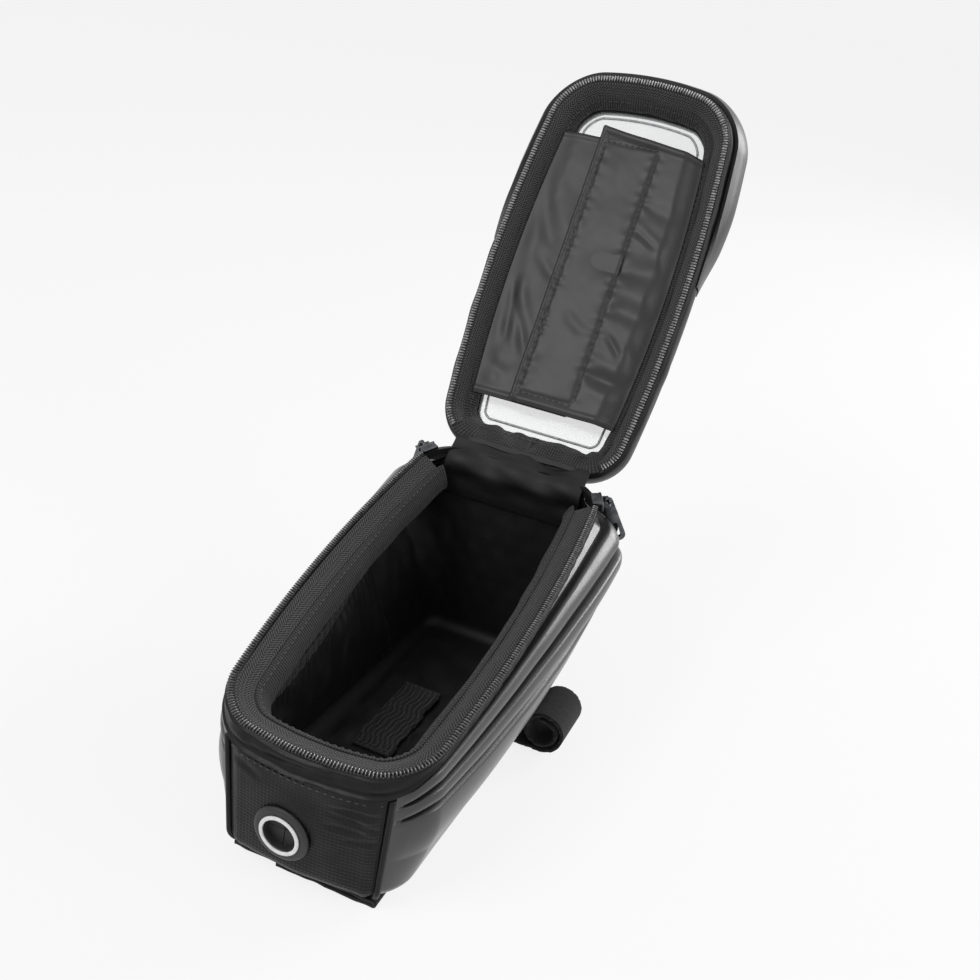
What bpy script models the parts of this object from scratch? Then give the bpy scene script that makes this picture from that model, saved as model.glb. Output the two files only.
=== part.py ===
"""Top tube bag: a lofted soft body, a hinged window lid that stands open, a two-slider zip and straps.

Metres, +Z up. The origin is the centre of the base's underside, +X is the right side and +Y the
hinge end. The rim is a plane that climbs towards the hinge end. Points on it have three
coordinates: x, s along the rim from the hinge axis, and n off the rim plane, plus towards the lid.
"""
import math

import bmesh
import bpy
import numpy as np
from mathutils import Matrix, Vector

# Overall form
RIM_LENGTH = 0.190
RIM_WIDTH = 0.100
RIM_SLOPE = math.radians(12.6)
FRONT_HEIGHT = 0.063
SIDE_BOW = 0.0066
FRONT_BOW = 0.0067
FRONT_CORNER = 0.0184
REAR_CORNER = 0.0179
BASE_TAPER = 0.012
BASE_CORNER = 0.013
BASE_FRONT_BOW = 0.005
BASE_FRONT_SETBACK = 0.0007
BASE_REAR_SETBACK = 0.004
BASE_TURN = 0.006
LID_OPEN = math.radians(137)

# Walls and layers
GAP = 0.0003
WALL = 0.0032
LINING = 0.0006
CLOTH = 0.0008
BASE_PANEL = 0.0022
BASE_BOARD = 0.0027
BASE_SEAM = 0.0006
FRONT_BAND = 0.0115
SIDE_BAND = 0.0055

# Side shells: how far they stand out, and where on the height they stand out most
BULGE_FRONT = 0.006
BULGE_REAR = 0.016
PEAK_FRONT = 0.50
PEAK_REAR = 0.78
GROOVE = 0.0012
GROOVE_HEIGHTS = (0.66, 0.83)
GROOVE_SPREAD = 0.035

# Seams are stations on the outline: see outline()
FRONT_SEAM = 1.35
REAR_SEAM = 3.8
WELT = 0.0013
WELT_PROUD = 0.0006

# Zip
ZIP_END = 3.09
LID_ZIP_END = 3.50
CHAIN_WIDTH = 0.0026
CHAIN_HEIGHT = 0.0018
CHAIN_INSET = 0.0005
RIM_CLEAR = 0.0005
WALL_TOP = 0.0033
TAPE_TOP = 0.0020
TAPE_DEPTH = 0.0135
BINDING_TOP = 0.0105
BINDING_DEPTH = 0.0170

# Sliders and pulls
SLIDER_STATION = 3.26
SLIDER_LENGTH = 0.0090
SLIDER_PLATE = 0.0013
SLIDER_DROP = 0.0046
BRIDGE_RISE = 0.0029
BRIDGE_SPAN = 0.0060
BRIDGE_WIRE = 0.0012
PULL_EYE = 0.0022
PULL_LENGTH = 0.0240
PULL_WIDTH = 0.0068
PULL_THICKNESS = 0.0014
PULL_SLOT_LENGTH = 0.0090
PULL_SLOT_WIDTH = 0.0022
PULL_REST = math.radians(18)
PULL_CLEAR = 0.0004

# Cable port
PORT_X = -0.0062
PORT_Z = 0.0205
PORT_FLANGE = 0.0120
PORT_NECK = 0.0098
PORT_BORE = 0.0072
PORT_FLANGE_THICK = 0.0016
PORT_RING_WIDTH = 0.0016
PORT_RING_THICK = 0.0007
MEMBRANE = 0.0008
SLIT_LENGTH = 0.0100
SLIT_WIDTH = 0.0004

# Lid
LID_DEPTH = 0.0180
LID_ROUND = 0.0050
LID_FLARE = 0.0020
LID_SKIN = 0.0020
FRAME_WIDTH = 0.0130
WINDOW_INSET = 0.0085
WINDOW = 0.0005
LID_BINDING_FROM = 0.0080
LID_BINDING_TO = 0.0132
LID_TAPE_TO = 0.0110
VISOR_END = 2.45
VISOR_THICK = 0.0020
VISOR_OUT = 0.0040
VISOR_RISE = 0.0055
VISOR_LIP = 0.0060
VISOR_FOOT = 0.0060

# Window pocket
POCKET_FRONT = 0.1640
POCKET_REAR = 0.0250
POCKET_EDGE_LEVEL = 0.0095
POCKET_LEVEL = 0.0060
POCKET_SHOULDER = 0.0100
FLAP_LEVEL = 0.0028
STRIP_WIDTH = 0.0250
STRIP_THICK = 0.0008
STRIP_SIDE_ROOM = 0.0006
STRIP_FRONT = 0.1610
STRIP_REAR = 0.0320
FLAP_EDGE = 0.0140
PANEL_EDGE = 0.0125

# Inner pocket and floor band
INNER_POCKET_FROM = 2.12
INNER_POCKET_TO = 2.80
INNER_POCKET_DEPTH = 0.0380
INNER_POCKET_ROOM = 0.0085
ELASTIC_WIDTH = 0.0060
ELASTIC_THICK = 0.0016
FLOOR_BAND_X = -0.0080
FLOOR_BAND_Y = 0.0030
FLOOR_BAND_LENGTH = 0.0520
FLOOR_BAND_WIDTH = 0.0180

# Straps
STRAP = 0.0016
STRAP_WIDTH = 0.025
STRAP_FRONT_SETBACK = 0.0105
STRAP_MID_SETBACK = 0.0487
STRAP_FOLD_INSET = 0.0075
STRAP_ROLL_OUT = 0.0135
STRAP_ROLL = 0.0100
STRAP_ROLL_INNER = 0.0072
STRAP_ROLL_TURN = math.radians(560)
STRAP_CLIMB = 0.42
STRAP_STAND = 0.0008
STRAP_FOLD = 0.0005
STRAP_FOLD_BACK = 0.042
HEAD_STRAP_DROP = 0.00945
HEAD_STRAP_OUT = 0.0010
HEAD_STRAP_TIP = 0.0110
HEAD_STRAP_BLUNT = 0.0008
HEAD_STRAP_STAND = 0.0040

# Hinge gusset: its path as inward offset and depth below the hinge axis
GUSSET_HALF = 0.0265
GUSSET_THICK = 0.0006
GUSSET_PATH = (
    (0, 0), (0.0036, 0.0013), (0.0066, 0.0045),
    (0.0082, 0.0105), (0.0076, 0.0170), (0.0066, 0.0250),
)

# Worked out
TURN_SHARE = 0.1
HINGE_Y = RIM_LENGTH * math.cos(RIM_SLOPE) / 2
HINGE_Z = FRONT_HEIGHT + RIM_LENGTH * math.sin(RIM_SLOPE)
FLOOR_Z = BASE_PANEL + BASE_BOARD + 2 * GAP
LINING_INSET = WALL + 2 * GAP
LINING_FACE = LINING_INSET + LINING + 3 * GAP
TAPE_INSET = WALL + GAP
BINDING_INSET = TAPE_INSET + CLOTH + GAP
POCKET_INSET = BINDING_INSET + CLOTH + GAP
RIM = {
    "half": RIM_WIDTH / 2 - SIDE_BOW,
    "front": -RIM_LENGTH,
    "rear": 0.0,
    "front_corner": FRONT_CORNER,
    "rear_corner": REAR_CORNER,
    "side_bow": SIDE_BOW,
    "front_bow": FRONT_BOW,
}
BASE = {
    "half": RIM_WIDTH / 2 - BASE_TAPER,
    "front": -HINGE_Y + BASE_FRONT_SETBACK,
    "rear": HINGE_Y - BASE_REAR_SETBACK,
    "front_corner": BASE_CORNER,
    "rear_corner": BASE_CORNER,
    "side_bow": 0.0,
    "front_bow": BASE_FRONT_BOW,
}

# Stations on a whole ring, closely spaced round the corners
STEPS = (2, 4, 7, 4, 2)
HALF_RING = np.concatenate([np.linspace(i, i + 1, count + 1)[:-1] for i, count in enumerate(STEPS)] + [[5]])
RING = np.concatenate([-HALF_RING[:0:-1], HALF_RING])[1:]

# Shares of the height between the base's turn and the lining's top edge
TURN_ROWS = np.array([0, 0.08, 0.4, 0.7]) * TURN_SHARE
BODY_ROWS = np.array([0, 0.12, 0.28, 0.44, 0.6, 0.68, 0.74, 0.8, 0.9, 1])
LINING_ROWS = np.array([0, 0.12, 0.28, 0.44, 0.6, 0.74, 0.88, 1])


# Scene

for old in list(bpy.data.objects):
    bpy.data.objects.remove(old, do_unlink=True)
PARTS = bpy.data.collections.new("top_tube_bag")
CUTTERS = bpy.data.collections.new("cutters")
for collection in (PARTS, CUTTERS):
    bpy.context.scene.collection.children.link(collection)
CUTTERS.hide_render = True


def material(name, colour, roughness, metallic=0.0, alpha=1.0):
    made = bpy.data.materials.new(name)
    made.use_nodes = True
    shader = made.node_tree.nodes["Principled BSDF"]
    shader.inputs["Base Color"].default_value = (*colour, 1)
    shader.inputs["Roughness"].default_value = roughness
    shader.inputs["Metallic"].default_value = metallic
    shader.inputs["Alpha"].default_value = alpha
    return made


COATED = material("coated_cloth", (0.035, 0.035, 0.036), 0.45)
FOAM = material("moulded_foam", (0.045, 0.045, 0.047), 0.35)
WOVEN = material("woven_tape", (0.025, 0.025, 0.026), 0.85)
LINING_CLOTH = material("lining_cloth", (0.010, 0.010, 0.011), 0.7)
SATIN_PANEL = material("satin_panel", (0.095, 0.095, 0.097), 0.5)
NYLON = material("nylon_coil", (0.018, 0.018, 0.019), 0.3)
GUNMETAL = material("gunmetal", (0.30, 0.30, 0.31), 0.3, metallic=1.0)
RUBBER = material("rubber", (0.012, 0.012, 0.012), 0.6)
REFLECTIVE = material("light_ring", (0.70, 0.70, 0.70), 0.4)
HOOK_LOOP = material("hook_and_loop", (0.015, 0.015, 0.016), 0.95)
CLEAR = material("clear_sheet", (0.85, 0.86, 0.87), 0.1, alpha=0.3)
BOARD = material("board", (0.20, 0.17, 0.13), 0.8)


# Form of the bag

def smooth(t):
    """Rises from 0 to 1 with no slope at its ends."""
    t = np.clip(t, 0, 1)
    return t * t * (3 - 2 * t)


def outline(q, half, front, rear, front_corner, rear_corner, side_bow, front_bow):
    """Plan point at station q of a rounded rectangle whose sides and front bow out.

    0 is the front's centre, 1 to 2 the front corner, 2 to 3 the side, 3 to 4 the rear corner and 5
    the rear's centre. A negative station is the same place on the left.
    """
    side = np.where(q < 0, -1.0, 1.0)
    p = np.abs(q)
    front_turn = (p - 1) * math.pi / 2
    rear_turn = (p - 3) * math.pi / 2
    run = rear - rear_corner - front - front_corner
    stretches = [p < 1, p < 2, p < 3, p < 4]
    x = np.select(stretches, [
        p * (half - front_corner),
        half - front_corner + front_corner * np.sin(front_turn),
        half + 0 * p,
        half - rear_corner + rear_corner * np.cos(rear_turn),
    ], (5 - p) * (half - rear_corner))
    y = np.select(stretches, [
        front + 0 * p,
        front + front_corner - front_corner * np.cos(front_turn),
        front + front_corner + (p - 2) * run,
        rear - rear_corner + rear_corner * np.sin(rear_turn),
    ], rear + 0 * p)
    middle = (front + rear) / 2
    along = (y - middle) / ((rear - front) / 2)
    share = x / half
    bowed_x = x + side_bow * np.clip(1 - along ** 2, 0, 1) * np.minimum(1, share)
    bowed_y = y - front_bow * (1 - share ** 2) * (y < middle)
    return side * bowed_x, bowed_y


def plan_normal(q, shape):
    """Outward normal of an outline in its own plane."""
    step = 1e-3
    x0, y0 = outline(q - step, **shape)
    x1, y1 = outline(q + step, **shape)
    length = np.hypot(x1 - x0, y1 - y0)
    return (y1 - y0) / length, -(x1 - x0) / length


def rim_point(q, inset=0.0, n=0.0):
    """Point of the rim outline moved inwards, as (x, s, n)."""
    x, s = outline(q, **RIM)
    nx, ny = plan_normal(q, RIM)
    return np.stack(np.broadcast_arrays(x - nx * inset, s - ny * inset, n), axis=-1)


def to_bag(points):
    """Rim coordinates (x, s, n) as bag coordinates."""
    x, s, n = np.moveaxis(points, -1, 0)
    y = HINGE_Y + s * math.cos(RIM_SLOPE) - n * math.sin(RIM_SLOPE)
    z = HINGE_Z + s * math.sin(RIM_SLOPE) + n * math.cos(RIM_SLOPE)
    return np.stack([x, y, z], axis=-1)


def rim_height(q):
    return HINGE_Z + outline(q, **RIM)[1] * math.sin(RIM_SLOPE)


def bulge(q, share):
    """How far a side shell stands out at a share of the height."""
    p = np.abs(q)
    along = np.clip(p - 2, 0, 1)
    most = BULGE_FRONT + (BULGE_REAR - BULGE_FRONT) * along
    ends = smooth((p - FRONT_SEAM) / 0.9) * smooth((REAR_SEAM - p) / 0.75)
    peak = PEAK_FRONT + (PEAK_REAR - PEAK_FRONT) * along
    below_band = np.clip(share / (1 - SIDE_BAND / rim_height(q)), 0, 1)
    return most * ends * np.sin(math.pi * below_band ** (math.log(0.5) / np.log(peak)))


def grooves(q, share):
    p = np.abs(q)
    ends = smooth((p - FRONT_SEAM - 0.3) / 0.6) * smooth((REAR_SEAM - 0.45 - p) / 0.5)
    depth = sum(np.exp(-((share - at) / GROOVE_SPREAD) ** 2) for at in GROOVE_HEIGHTS)
    return GROOVE * ends * depth


def wall(q, v, relief=False, bulged=True):
    """Outer surface at station q and height v: 0 base edge, TURN_SHARE top of its turn, 1 rim."""
    q, v = np.broadcast_arrays(q, v)
    base_x, base_y = outline(q, **BASE)
    rim = to_bag(rim_point(q))
    height = rim_height(q)
    turn = np.clip(v / TURN_SHARE, 0, 1) * math.pi / 2
    above = BASE_TURN + (v - TURN_SHARE) / (1 - TURN_SHARE) * (height - BASE_TURN)
    z = np.where(v < TURN_SHARE, BASE_TURN * (1 - np.cos(turn)), above)
    share = z / height
    out = bulge(q, share) * bulged - BASE_TURN * (1 - np.sin(turn))
    if relief:
        out = out - grooves(q, share)
    base_nx, base_ny = plan_normal(q, BASE)
    rim_nx, rim_ny = plan_normal(q, RIM)
    nx = base_nx + (rim_nx - base_nx) * share
    ny = base_ny + (rim_ny - base_ny) * share
    x = base_x + (rim[..., 0] - base_x) * share + nx * out
    y = base_y + (rim[..., 1] - base_y) * share + ny * out
    return np.stack([x, y, z], axis=-1)


def below_rim(q, depth):
    """Height v of a place that lies this deep below the rim."""
    return 1 - (1 - TURN_SHARE) * depth / (rim_height(q) - BASE_TURN)


def at_height(q, z):
    return TURN_SHARE + (1 - TURN_SHARE) * (z - BASE_TURN) / (rim_height(q) - BASE_TURN)


def skin(q, v, depth, bulged=True):
    """The wall moved inwards by depth along its normal."""
    q, v = np.broadcast_arrays(q, v)
    step = 1e-3
    across = wall(q + step, v, bulged=bulged) - wall(q - step, v, bulged=bulged)
    up = wall(q, v + step, bulged=bulged) - wall(q, np.maximum(v - step, 0), bulged=bulged)
    normal = np.cross(across, up)
    normal /= np.linalg.norm(normal, axis=-1, keepdims=True)
    return wall(q, v, bulged=bulged) - normal * np.asarray(depth)[..., None]


def band_depth(q):
    """Depth of the band's lower edge: deep across the front, shallow along the sides."""
    return SIDE_BAND + (FRONT_BAND - SIDE_BAND) * smooth((1.95 - np.abs(q)) / 0.7)


def side_station(y, shape):
    """Station on the right side at this y."""
    start = shape["front"] + shape["front_corner"]
    return 2 + (y - start) / (shape["rear"] - shape["rear_corner"] - start)


# Making objects

def add_object(name, mesh, finish, collection=PARTS):
    made = bpy.data.objects.new(name, mesh)
    collection.objects.link(made)
    if finish:
        mesh.materials.append(finish)
    mesh.shade_smooth()
    mesh.set_sharp_from_angle(angle=math.radians(40))
    return made


def sheet(name, points, thickness, finish, offset=0.0):
    """A grid of points with its thickness on both sides, or behind it where offset is -1."""
    rows, columns = points.shape[:2]
    index = np.arange(rows * columns).reshape(rows, columns)
    corners = (index[:-1, :-1], index[:-1, 1:], index[1:, 1:], index[1:, :-1])
    mesh = bpy.data.meshes.new(name)
    mesh.from_pydata(points.reshape(-1, 3).tolist(), [], np.stack(corners, axis=-1).reshape(-1, 4).tolist())
    made = add_object(name, mesh, finish)
    solid = made.modifiers.new("thickness", "SOLIDIFY")
    solid.thickness = thickness
    solid.offset = offset
    solid.use_even_offset = True
    return made


def shell(name, outer, inner, finish, ring=False, floor=False):
    """A closed solid between two grids of points, rows by columns, whose edges are joined."""
    rows, columns = outer.shape[:2]
    front = np.arange(rows * columns).reshape(rows, columns)
    back = front + rows * columns
    right = (slice(None), np.arange(1, columns + 1) % columns if ring else slice(1, None))
    left = (slice(None), slice(None) if ring else slice(0, -1))
    quads = [
        (front[left][:-1], front[right][:-1], front[right][1:], front[left][1:]),
        (back[left][:-1], back[left][1:], back[right][1:], back[right][:-1]),
        (front[left][-1], front[right][-1], back[right][-1], back[left][-1]),
    ]
    if not floor:
        quads.append((front[right][0], front[left][0], back[left][0], back[right][0]))
    if not ring:
        quads.append((front[1:, -1], front[:-1, -1], back[:-1, -1], back[1:, -1]))
        quads.append((front[:-1, 0], front[1:, 0], back[1:, 0], back[:-1, 0]))
    faces = [face for quad in quads for face in np.stack(quad, axis=-1).reshape(-1, 4).tolist()]
    if floor:
        faces += [front[0, ::-1].tolist(), back[0].tolist()]
    mesh = bpy.data.meshes.new(name)
    mesh.from_pydata(np.concatenate([outer.reshape(-1, 3), inner.reshape(-1, 3)]).tolist(), [], faces)
    return add_object(name, mesh, finish)


def layer(name, q, v, inset, thickness, finish, ring=False, bulged=True):
    """A layer of the wall, from one depth under its outer surface to another."""
    outer = skin(q, v, inset, bulged)
    inner = skin(q, v, inset + thickness, bulged)
    return shell(name, outer, inner, finish, ring=ring)


def band(name, q, inset, bottom, top, thickness, finish, ring=False):
    """A straight strip inside the rim, from depth bottom to depth top below it."""
    v = np.stack([below_rim(q, bottom), below_rim(q, top)])
    return layer(name, q, v, inset, thickness, finish, ring=ring, bulged=False)


def plate(name, q, shape, inset, z, thickness, finish):
    """A flat board of an outline moved inwards, its underside at z."""
    x, y = outline(q, **shape)
    nx, ny = plan_normal(q, shape)
    mesh = bpy.data.meshes.new(name)
    points = np.stack([x - nx * inset, y - ny * inset, np.full_like(x, z)], axis=-1)
    mesh.from_pydata(points.tolist(), [], [list(range(len(q)))[::-1]])
    made = add_object(name, mesh, finish)
    solid = made.modifiers.new("thickness", "SOLIDIFY")
    solid.thickness = thickness
    solid.offset = -1
    return made


def tube(name, points, radius, finish, sides=2):
    curve = bpy.data.curves.new(name, "CURVE")
    curve.dimensions = "3D"
    curve.bevel_depth = radius
    curve.bevel_resolution = sides
    curve.use_fill_caps = True
    spline = curve.splines.new("POLY")
    spline.points.add(len(points) - 1)
    spline.points.foreach_set("co", np.column_stack([points, np.ones(len(points))]).ravel())
    curve.materials.append(finish)
    made = bpy.data.objects.new(name, curve)
    PARTS.objects.link(made)
    return made


def ring_solid(name, profile, finish, steps=24):
    """A profile of (radius, along) points, outer side first from top to bottom, turned round local Z."""
    mesh = bpy.data.meshes.new(name)
    edges = [(i, (i + 1) % len(profile)) for i in range(len(profile))]
    mesh.from_pydata([(r, 0, a) for r, a in profile], edges, [])
    made = add_object(name, mesh, finish)
    turn = made.modifiers.new("turn", "SCREW")
    turn.steps = steps
    turn.render_steps = steps
    turn.axis = "Z"
    turn.use_merge_vertices = True
    turn.merge_threshold = 0.00001
    return made


def box(name, low, high, finish=None, collection=PARTS):
    mesh = bpy.data.meshes.new(name)
    work = bmesh.new()
    bmesh.ops.create_cube(work, size=1)
    size = Vector(high) - Vector(low)
    middle = (Vector(high) + Vector(low)) / 2
    bmesh.ops.scale(work, vec=size, verts=work.verts)
    bmesh.ops.translate(work, vec=middle, verts=work.verts)
    work.to_mesh(mesh)
    work.free()
    return add_object(name, mesh, finish, collection)


def cylinder(name, radius, length, collection=CUTTERS, segments=24):
    mesh = bpy.data.meshes.new(name)
    work = bmesh.new()
    bmesh.ops.create_cone(
        work, cap_ends=True, segments=segments, radius1=radius, radius2=radius, depth=length,
    )
    work.to_mesh(mesh)
    work.free()
    return add_object(name, mesh, None, collection)


def combine(target, tool, operation):
    """Joins a tool to the target or cuts it away, and keeps the tool as a hidden guide."""
    step = target.modifiers.new(tool.name, "BOOLEAN")
    step.object = tool
    step.operation = operation
    step.solver = "EXACT"
    tool.display_type = "WIRE"
    tool.hide_render = True


def axes_matrix(origin, x_axis, y_axis, z_axis):
    made = Matrix.Identity(4)
    for column, axis in enumerate((x_axis, y_axis, z_axis)):
        for row in range(3):
            made[row][column] = axis[row]
    made.translation = Vector(origin)
    return made


def empty(name, matrix):
    made = bpy.data.objects.new(name, None)
    PARTS.objects.link(made)
    made.matrix_world = matrix
    return made


def hang(piece, parent):
    """Parents a piece that was made in the parent's own axes."""
    piece.parent = parent


# Body shell

def make_base():
    plate("base_panel", RING, BASE, BASE_TURN + BASE_SEAM, 0.0, BASE_PANEL, COATED)
    plate("base_board", RING, BASE, BASE_TURN + 2 * BASE_SEAM, BASE_PANEL + GAP, BASE_BOARD, BOARD)


def stations(start, end):
    """The ring's stations between two places, and the places themselves."""
    inside = RING[(RING > start + 0.02) & (RING < end - 0.02)]
    return np.concatenate([[start], inside, [end]])


def lining_top(q):
    return below_rim(q, BINDING_DEPTH + 2 * GAP)


def wall_rows(q, top_depth):
    """Heights from the base's edge to a depth below the rim."""
    turn = np.repeat(TURN_ROWS[:, None], len(q), axis=1)
    body = TURN_SHARE + (lining_top(q) - TURN_SHARE) * BODY_ROWS[:, None]
    end = below_rim(q, top_depth)
    over = lining_top(q) + (end - lining_top(q)) * np.array([0.5, 1])[:, None]
    return np.concatenate([turn, body, over])


def seam_channel(shape_corner):
    """Half of a seam's width, as a share of a corner's quarter turn."""
    return (WELT + GAP) / (shape_corner * math.pi / 2)


def make_shell():
    half_seam = seam_channel(BASE_CORNER)
    q = stations(FRONT_SEAM + half_seam, REAR_SEAM - half_seam)
    for name, at in (("side_panel_right", q), ("side_panel_left", -q[::-1])):
        rows = wall_rows(at, band_depth(at) + GAP)
        shell(name, wall(at, rows, relief=True), skin(at, rows, WALL), FOAM)

    q = stations(half_seam - FRONT_SEAM, FRONT_SEAM - half_seam)
    front = layer("cable_end_panel", q, wall_rows(q, band_depth(q) + GAP), 0.0, WALL, COATED)
    neck_hole = cylinder("port_hole", PORT_NECK + GAP, 3 * PORT_FLANGE)
    neck_hole.matrix_world = port_frame()
    combine(front, neck_hole, "DIFFERENCE")

    half = stations(REAR_SEAM + half_seam, 5)
    q = np.concatenate([half, -half[-2::-1]])
    layer("hinge_end_panel", q, wall_rows(q, band_depth(q) + GAP), 0.0, WALL, COATED)

    band("rim_band", RING, 0.0, band_depth(RING), WALL_TOP, WALL, COATED, ring=True)


def make_piping():
    for side, name in ((1, "right"), (-1, "left")):
        for seam, end_name in ((FRONT_SEAM, "front"), (REAR_SEAM, "rear")):
            q = np.full(12, side * seam)
            v = np.linspace(TURN_SHARE * 0.8, below_rim(q, band_depth(q) + WELT + 2 * GAP)[0], 12)
            tube(f"piping_{end_name}_{name}", skin(q, v, -WELT_PROUD), WELT, COATED)


def floor_edge(inset, z):
    """The base's outline moved inwards, at a height."""
    x, y = outline(RING, **BASE)
    nx, ny = plan_normal(RING, BASE)
    return np.stack([x - nx * inset, y - ny * inset, np.full_like(x, z)], axis=-1)


def make_lining():
    v = TURN_SHARE + (lining_top(RING) - TURN_SHARE) * LINING_ROWS[:, None]
    outer = skin(RING, v, LINING_INSET)
    inner = skin(RING, v, LINING_INSET + LINING)
    outer[0] = floor_edge(LINING_INSET + GAP, FLOOR_Z)
    inner[0] = floor_edge(LINING_INSET + GAP + LINING, FLOOR_Z + LINING)
    lining = shell("lining", outer, inner, LINING_CLOTH, ring=True, floor=True)
    combine(lining, bpy.data.objects["port_hole"], "DIFFERENCE")


def make_zip():
    q = stations(-ZIP_END, ZIP_END)
    band("zip_tape_body", q, TAPE_INSET, TAPE_DEPTH, TAPE_TOP, CLOTH, WOVEN)
    band("binding_body", q, BINDING_INSET, BINDING_DEPTH, BINDING_TOP, CLOTH, WOVEN)
    low = -RIM_CLEAR - CHAIN_HEIGHT
    sides = [np.stack([rim_point(q, inset, low), rim_point(q, inset, -RIM_CLEAR)])
             for inset in (CHAIN_INSET, CHAIN_INSET + CHAIN_WIDTH)]
    shell("zip_chain_body", to_bag(sides[0]), to_bag(sides[1]), NYLON)


def port_frame():
    """Frame of the cable port: its Z points out of the bag, its Y up."""
    q = np.array([PORT_X / (RIM["half"] - FRONT_CORNER)])
    v = at_height(q, PORT_Z)
    point = wall(q, v)[0]
    across = (wall(q + 0.01, v) - wall(q - 0.01, v))[0]
    across /= np.linalg.norm(across)
    up = (wall(q, v + 0.01) - wall(q, v - 0.01))[0]
    out = np.cross(across, up)
    out /= np.linalg.norm(out)
    return axes_matrix(point, across, np.cross(out, across), out)


def make_cable_port():
    frame = port_frame()
    behind = -LINING_FACE
    flange = ring_solid("cable_port_flange", (
        (PORT_FLANGE, GAP + PORT_FLANGE_THICK * 0.6), (PORT_FLANGE, GAP), (PORT_NECK, GAP),
        (PORT_NECK, behind), (PORT_FLANGE, behind),
        (PORT_FLANGE, behind - PORT_FLANGE_THICK), (PORT_BORE, behind - PORT_FLANGE_THICK),
        (PORT_BORE, GAP + PORT_FLANGE_THICK), (PORT_FLANGE - 0.001, GAP + PORT_FLANGE_THICK),
    ), RUBBER)
    face = 2 * GAP + PORT_FLANGE_THICK
    outer = PORT_BORE + PORT_RING_WIDTH
    ring = ring_solid("cable_port_ring", (
        (outer, face + PORT_RING_THICK), (outer, face),
        (PORT_BORE, face), (PORT_BORE, face + PORT_RING_THICK),
    ), REFLECTIVE)
    membrane = cylinder("cable_port_membrane", PORT_BORE - GAP, MEMBRANE, PARTS)
    membrane.data.materials.append(RUBBER)
    for piece in (flange, ring):
        piece.matrix_world = frame
    membrane.matrix_world = frame @ Matrix.Translation((0, 0, -WALL / 2))
    for angle in (0, 90):
        slit = box(
            f"slit_{angle}",
            (-SLIT_LENGTH / 2, -SLIT_WIDTH / 2, -MEMBRANE), (SLIT_LENGTH / 2, SLIT_WIDTH / 2, MEMBRANE),
            collection=CUTTERS,
        )
        slit.matrix_world = membrane.matrix_world @ Matrix.Rotation(math.radians(angle), 4, "Z")
        combine(membrane, slit, "DIFFERENCE")


def make_inner_pocket():
    q = -np.linspace(INNER_POCKET_TO, INNER_POCKET_FROM, 9)
    along = np.linspace(0, 1, 9)
    top = below_rim(q, INNER_POCKET_DEPTH)
    low = at_height(q, FLOOR_Z + 0.004)
    heights = np.linspace(0, 1, 5)[:, None]
    room = INNER_POCKET_ROOM * np.sin(math.pi * along) ** 0.6 * smooth(heights * 1.15)
    v = low + (top - low) * heights
    layer("inner_pocket", q, v, LINING_FACE + room, CLOTH, LINING_CLOTH)
    rise = np.array([[GAP], [GAP + ELASTIC_WIDTH]])
    v = below_rim(q, INNER_POCKET_DEPTH - rise)
    layer("pocket_elastic", q, v, LINING_FACE + room[-1], ELASTIC_THICK, WOVEN)


def make_floor_band():
    low = FLOOR_Z + LINING + GAP
    half = (FLOOR_BAND_WIDTH / 2, FLOOR_BAND_LENGTH / 2)
    box(
        "floor_elastic",
        (FLOOR_BAND_X - half[0], FLOOR_BAND_Y - half[1], low),
        (FLOOR_BAND_X + half[0], FLOOR_BAND_Y + half[1], low + ELASTIC_THICK),
        WOVEN,
    )


def make_gusset():
    inward, depth = np.array(GUSSET_PATH).T
    y = HINGE_Y - inward
    z = HINGE_Z - depth
    x = np.linspace(-GUSSET_HALF, GUSSET_HALF, 7)
    points = np.stack(np.broadcast_arrays(x[None, :], y[:, None], z[:, None]), axis=-1)
    sheet("hinge_gusset", points, GUSSET_THICK, LINING_CLOTH)


# Straps

def make_front_strap():
    """It runs under the base, folds back under itself past the right edge and ends there."""
    under = -GAP - STRAP / 2
    bend = (STRAP + STRAP_FOLD) / 2
    half_run = BASE["half"] - STRAP_FOLD_INSET
    angles = np.linspace(0, math.pi, 6)
    fold = np.column_stack([half_run + bend * np.sin(angles), under - bend + bend * np.cos(angles)])
    path = np.concatenate([[(-half_run, under)], fold, [(half_run - STRAP_FOLD_BACK, under - 2 * bend)]])
    x, z = path.T
    y = BASE["front"] + STRAP_FRONT_SETBACK + np.array([-1, 1]) * STRAP_WIDTH / 2
    points = np.stack(np.broadcast_arrays(x[:, None], y[None, :], z[:, None]), axis=-1)
    sheet("strap_front", points, STRAP, HOOK_LOOP)


def make_mid_strap():
    """It climbs the left wall, runs under the base and ends in a roll at the right."""
    under = -GAP - STRAP / 2
    angles = np.linspace(0, STRAP_ROLL_TURN, 32)
    radius = STRAP_ROLL + (STRAP_ROLL_INNER - STRAP_ROLL) * angles / (2 * math.pi)
    centre = (BASE["half"] + STRAP_ROLL_OUT, under + STRAP_ROLL)
    roll = np.column_stack([centre[0] + radius * np.sin(angles), centre[1] - radius * np.cos(angles)])
    y = BASE["rear"] - STRAP_MID_SETBACK + np.array([-1, 0, 1]) * STRAP_WIDTH / 2
    q = -side_station(y, BASE)
    v = np.concatenate([np.linspace(STRAP_CLIMB, TURN_SHARE, 8), TURN_ROWS[::-1]])[:, None]
    climb = skin(q, v, -STRAP_STAND - STRAP / 2)
    climb[..., 1] = y
    x, z = np.concatenate([[(0.0, under)], roll]).T
    run = np.stack(np.broadcast_arrays(x[:, None], y[None, :], z[:, None]), axis=-1)
    sheet("strap_mid", np.concatenate([climb, run]), STRAP, HOOK_LOOP)


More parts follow.
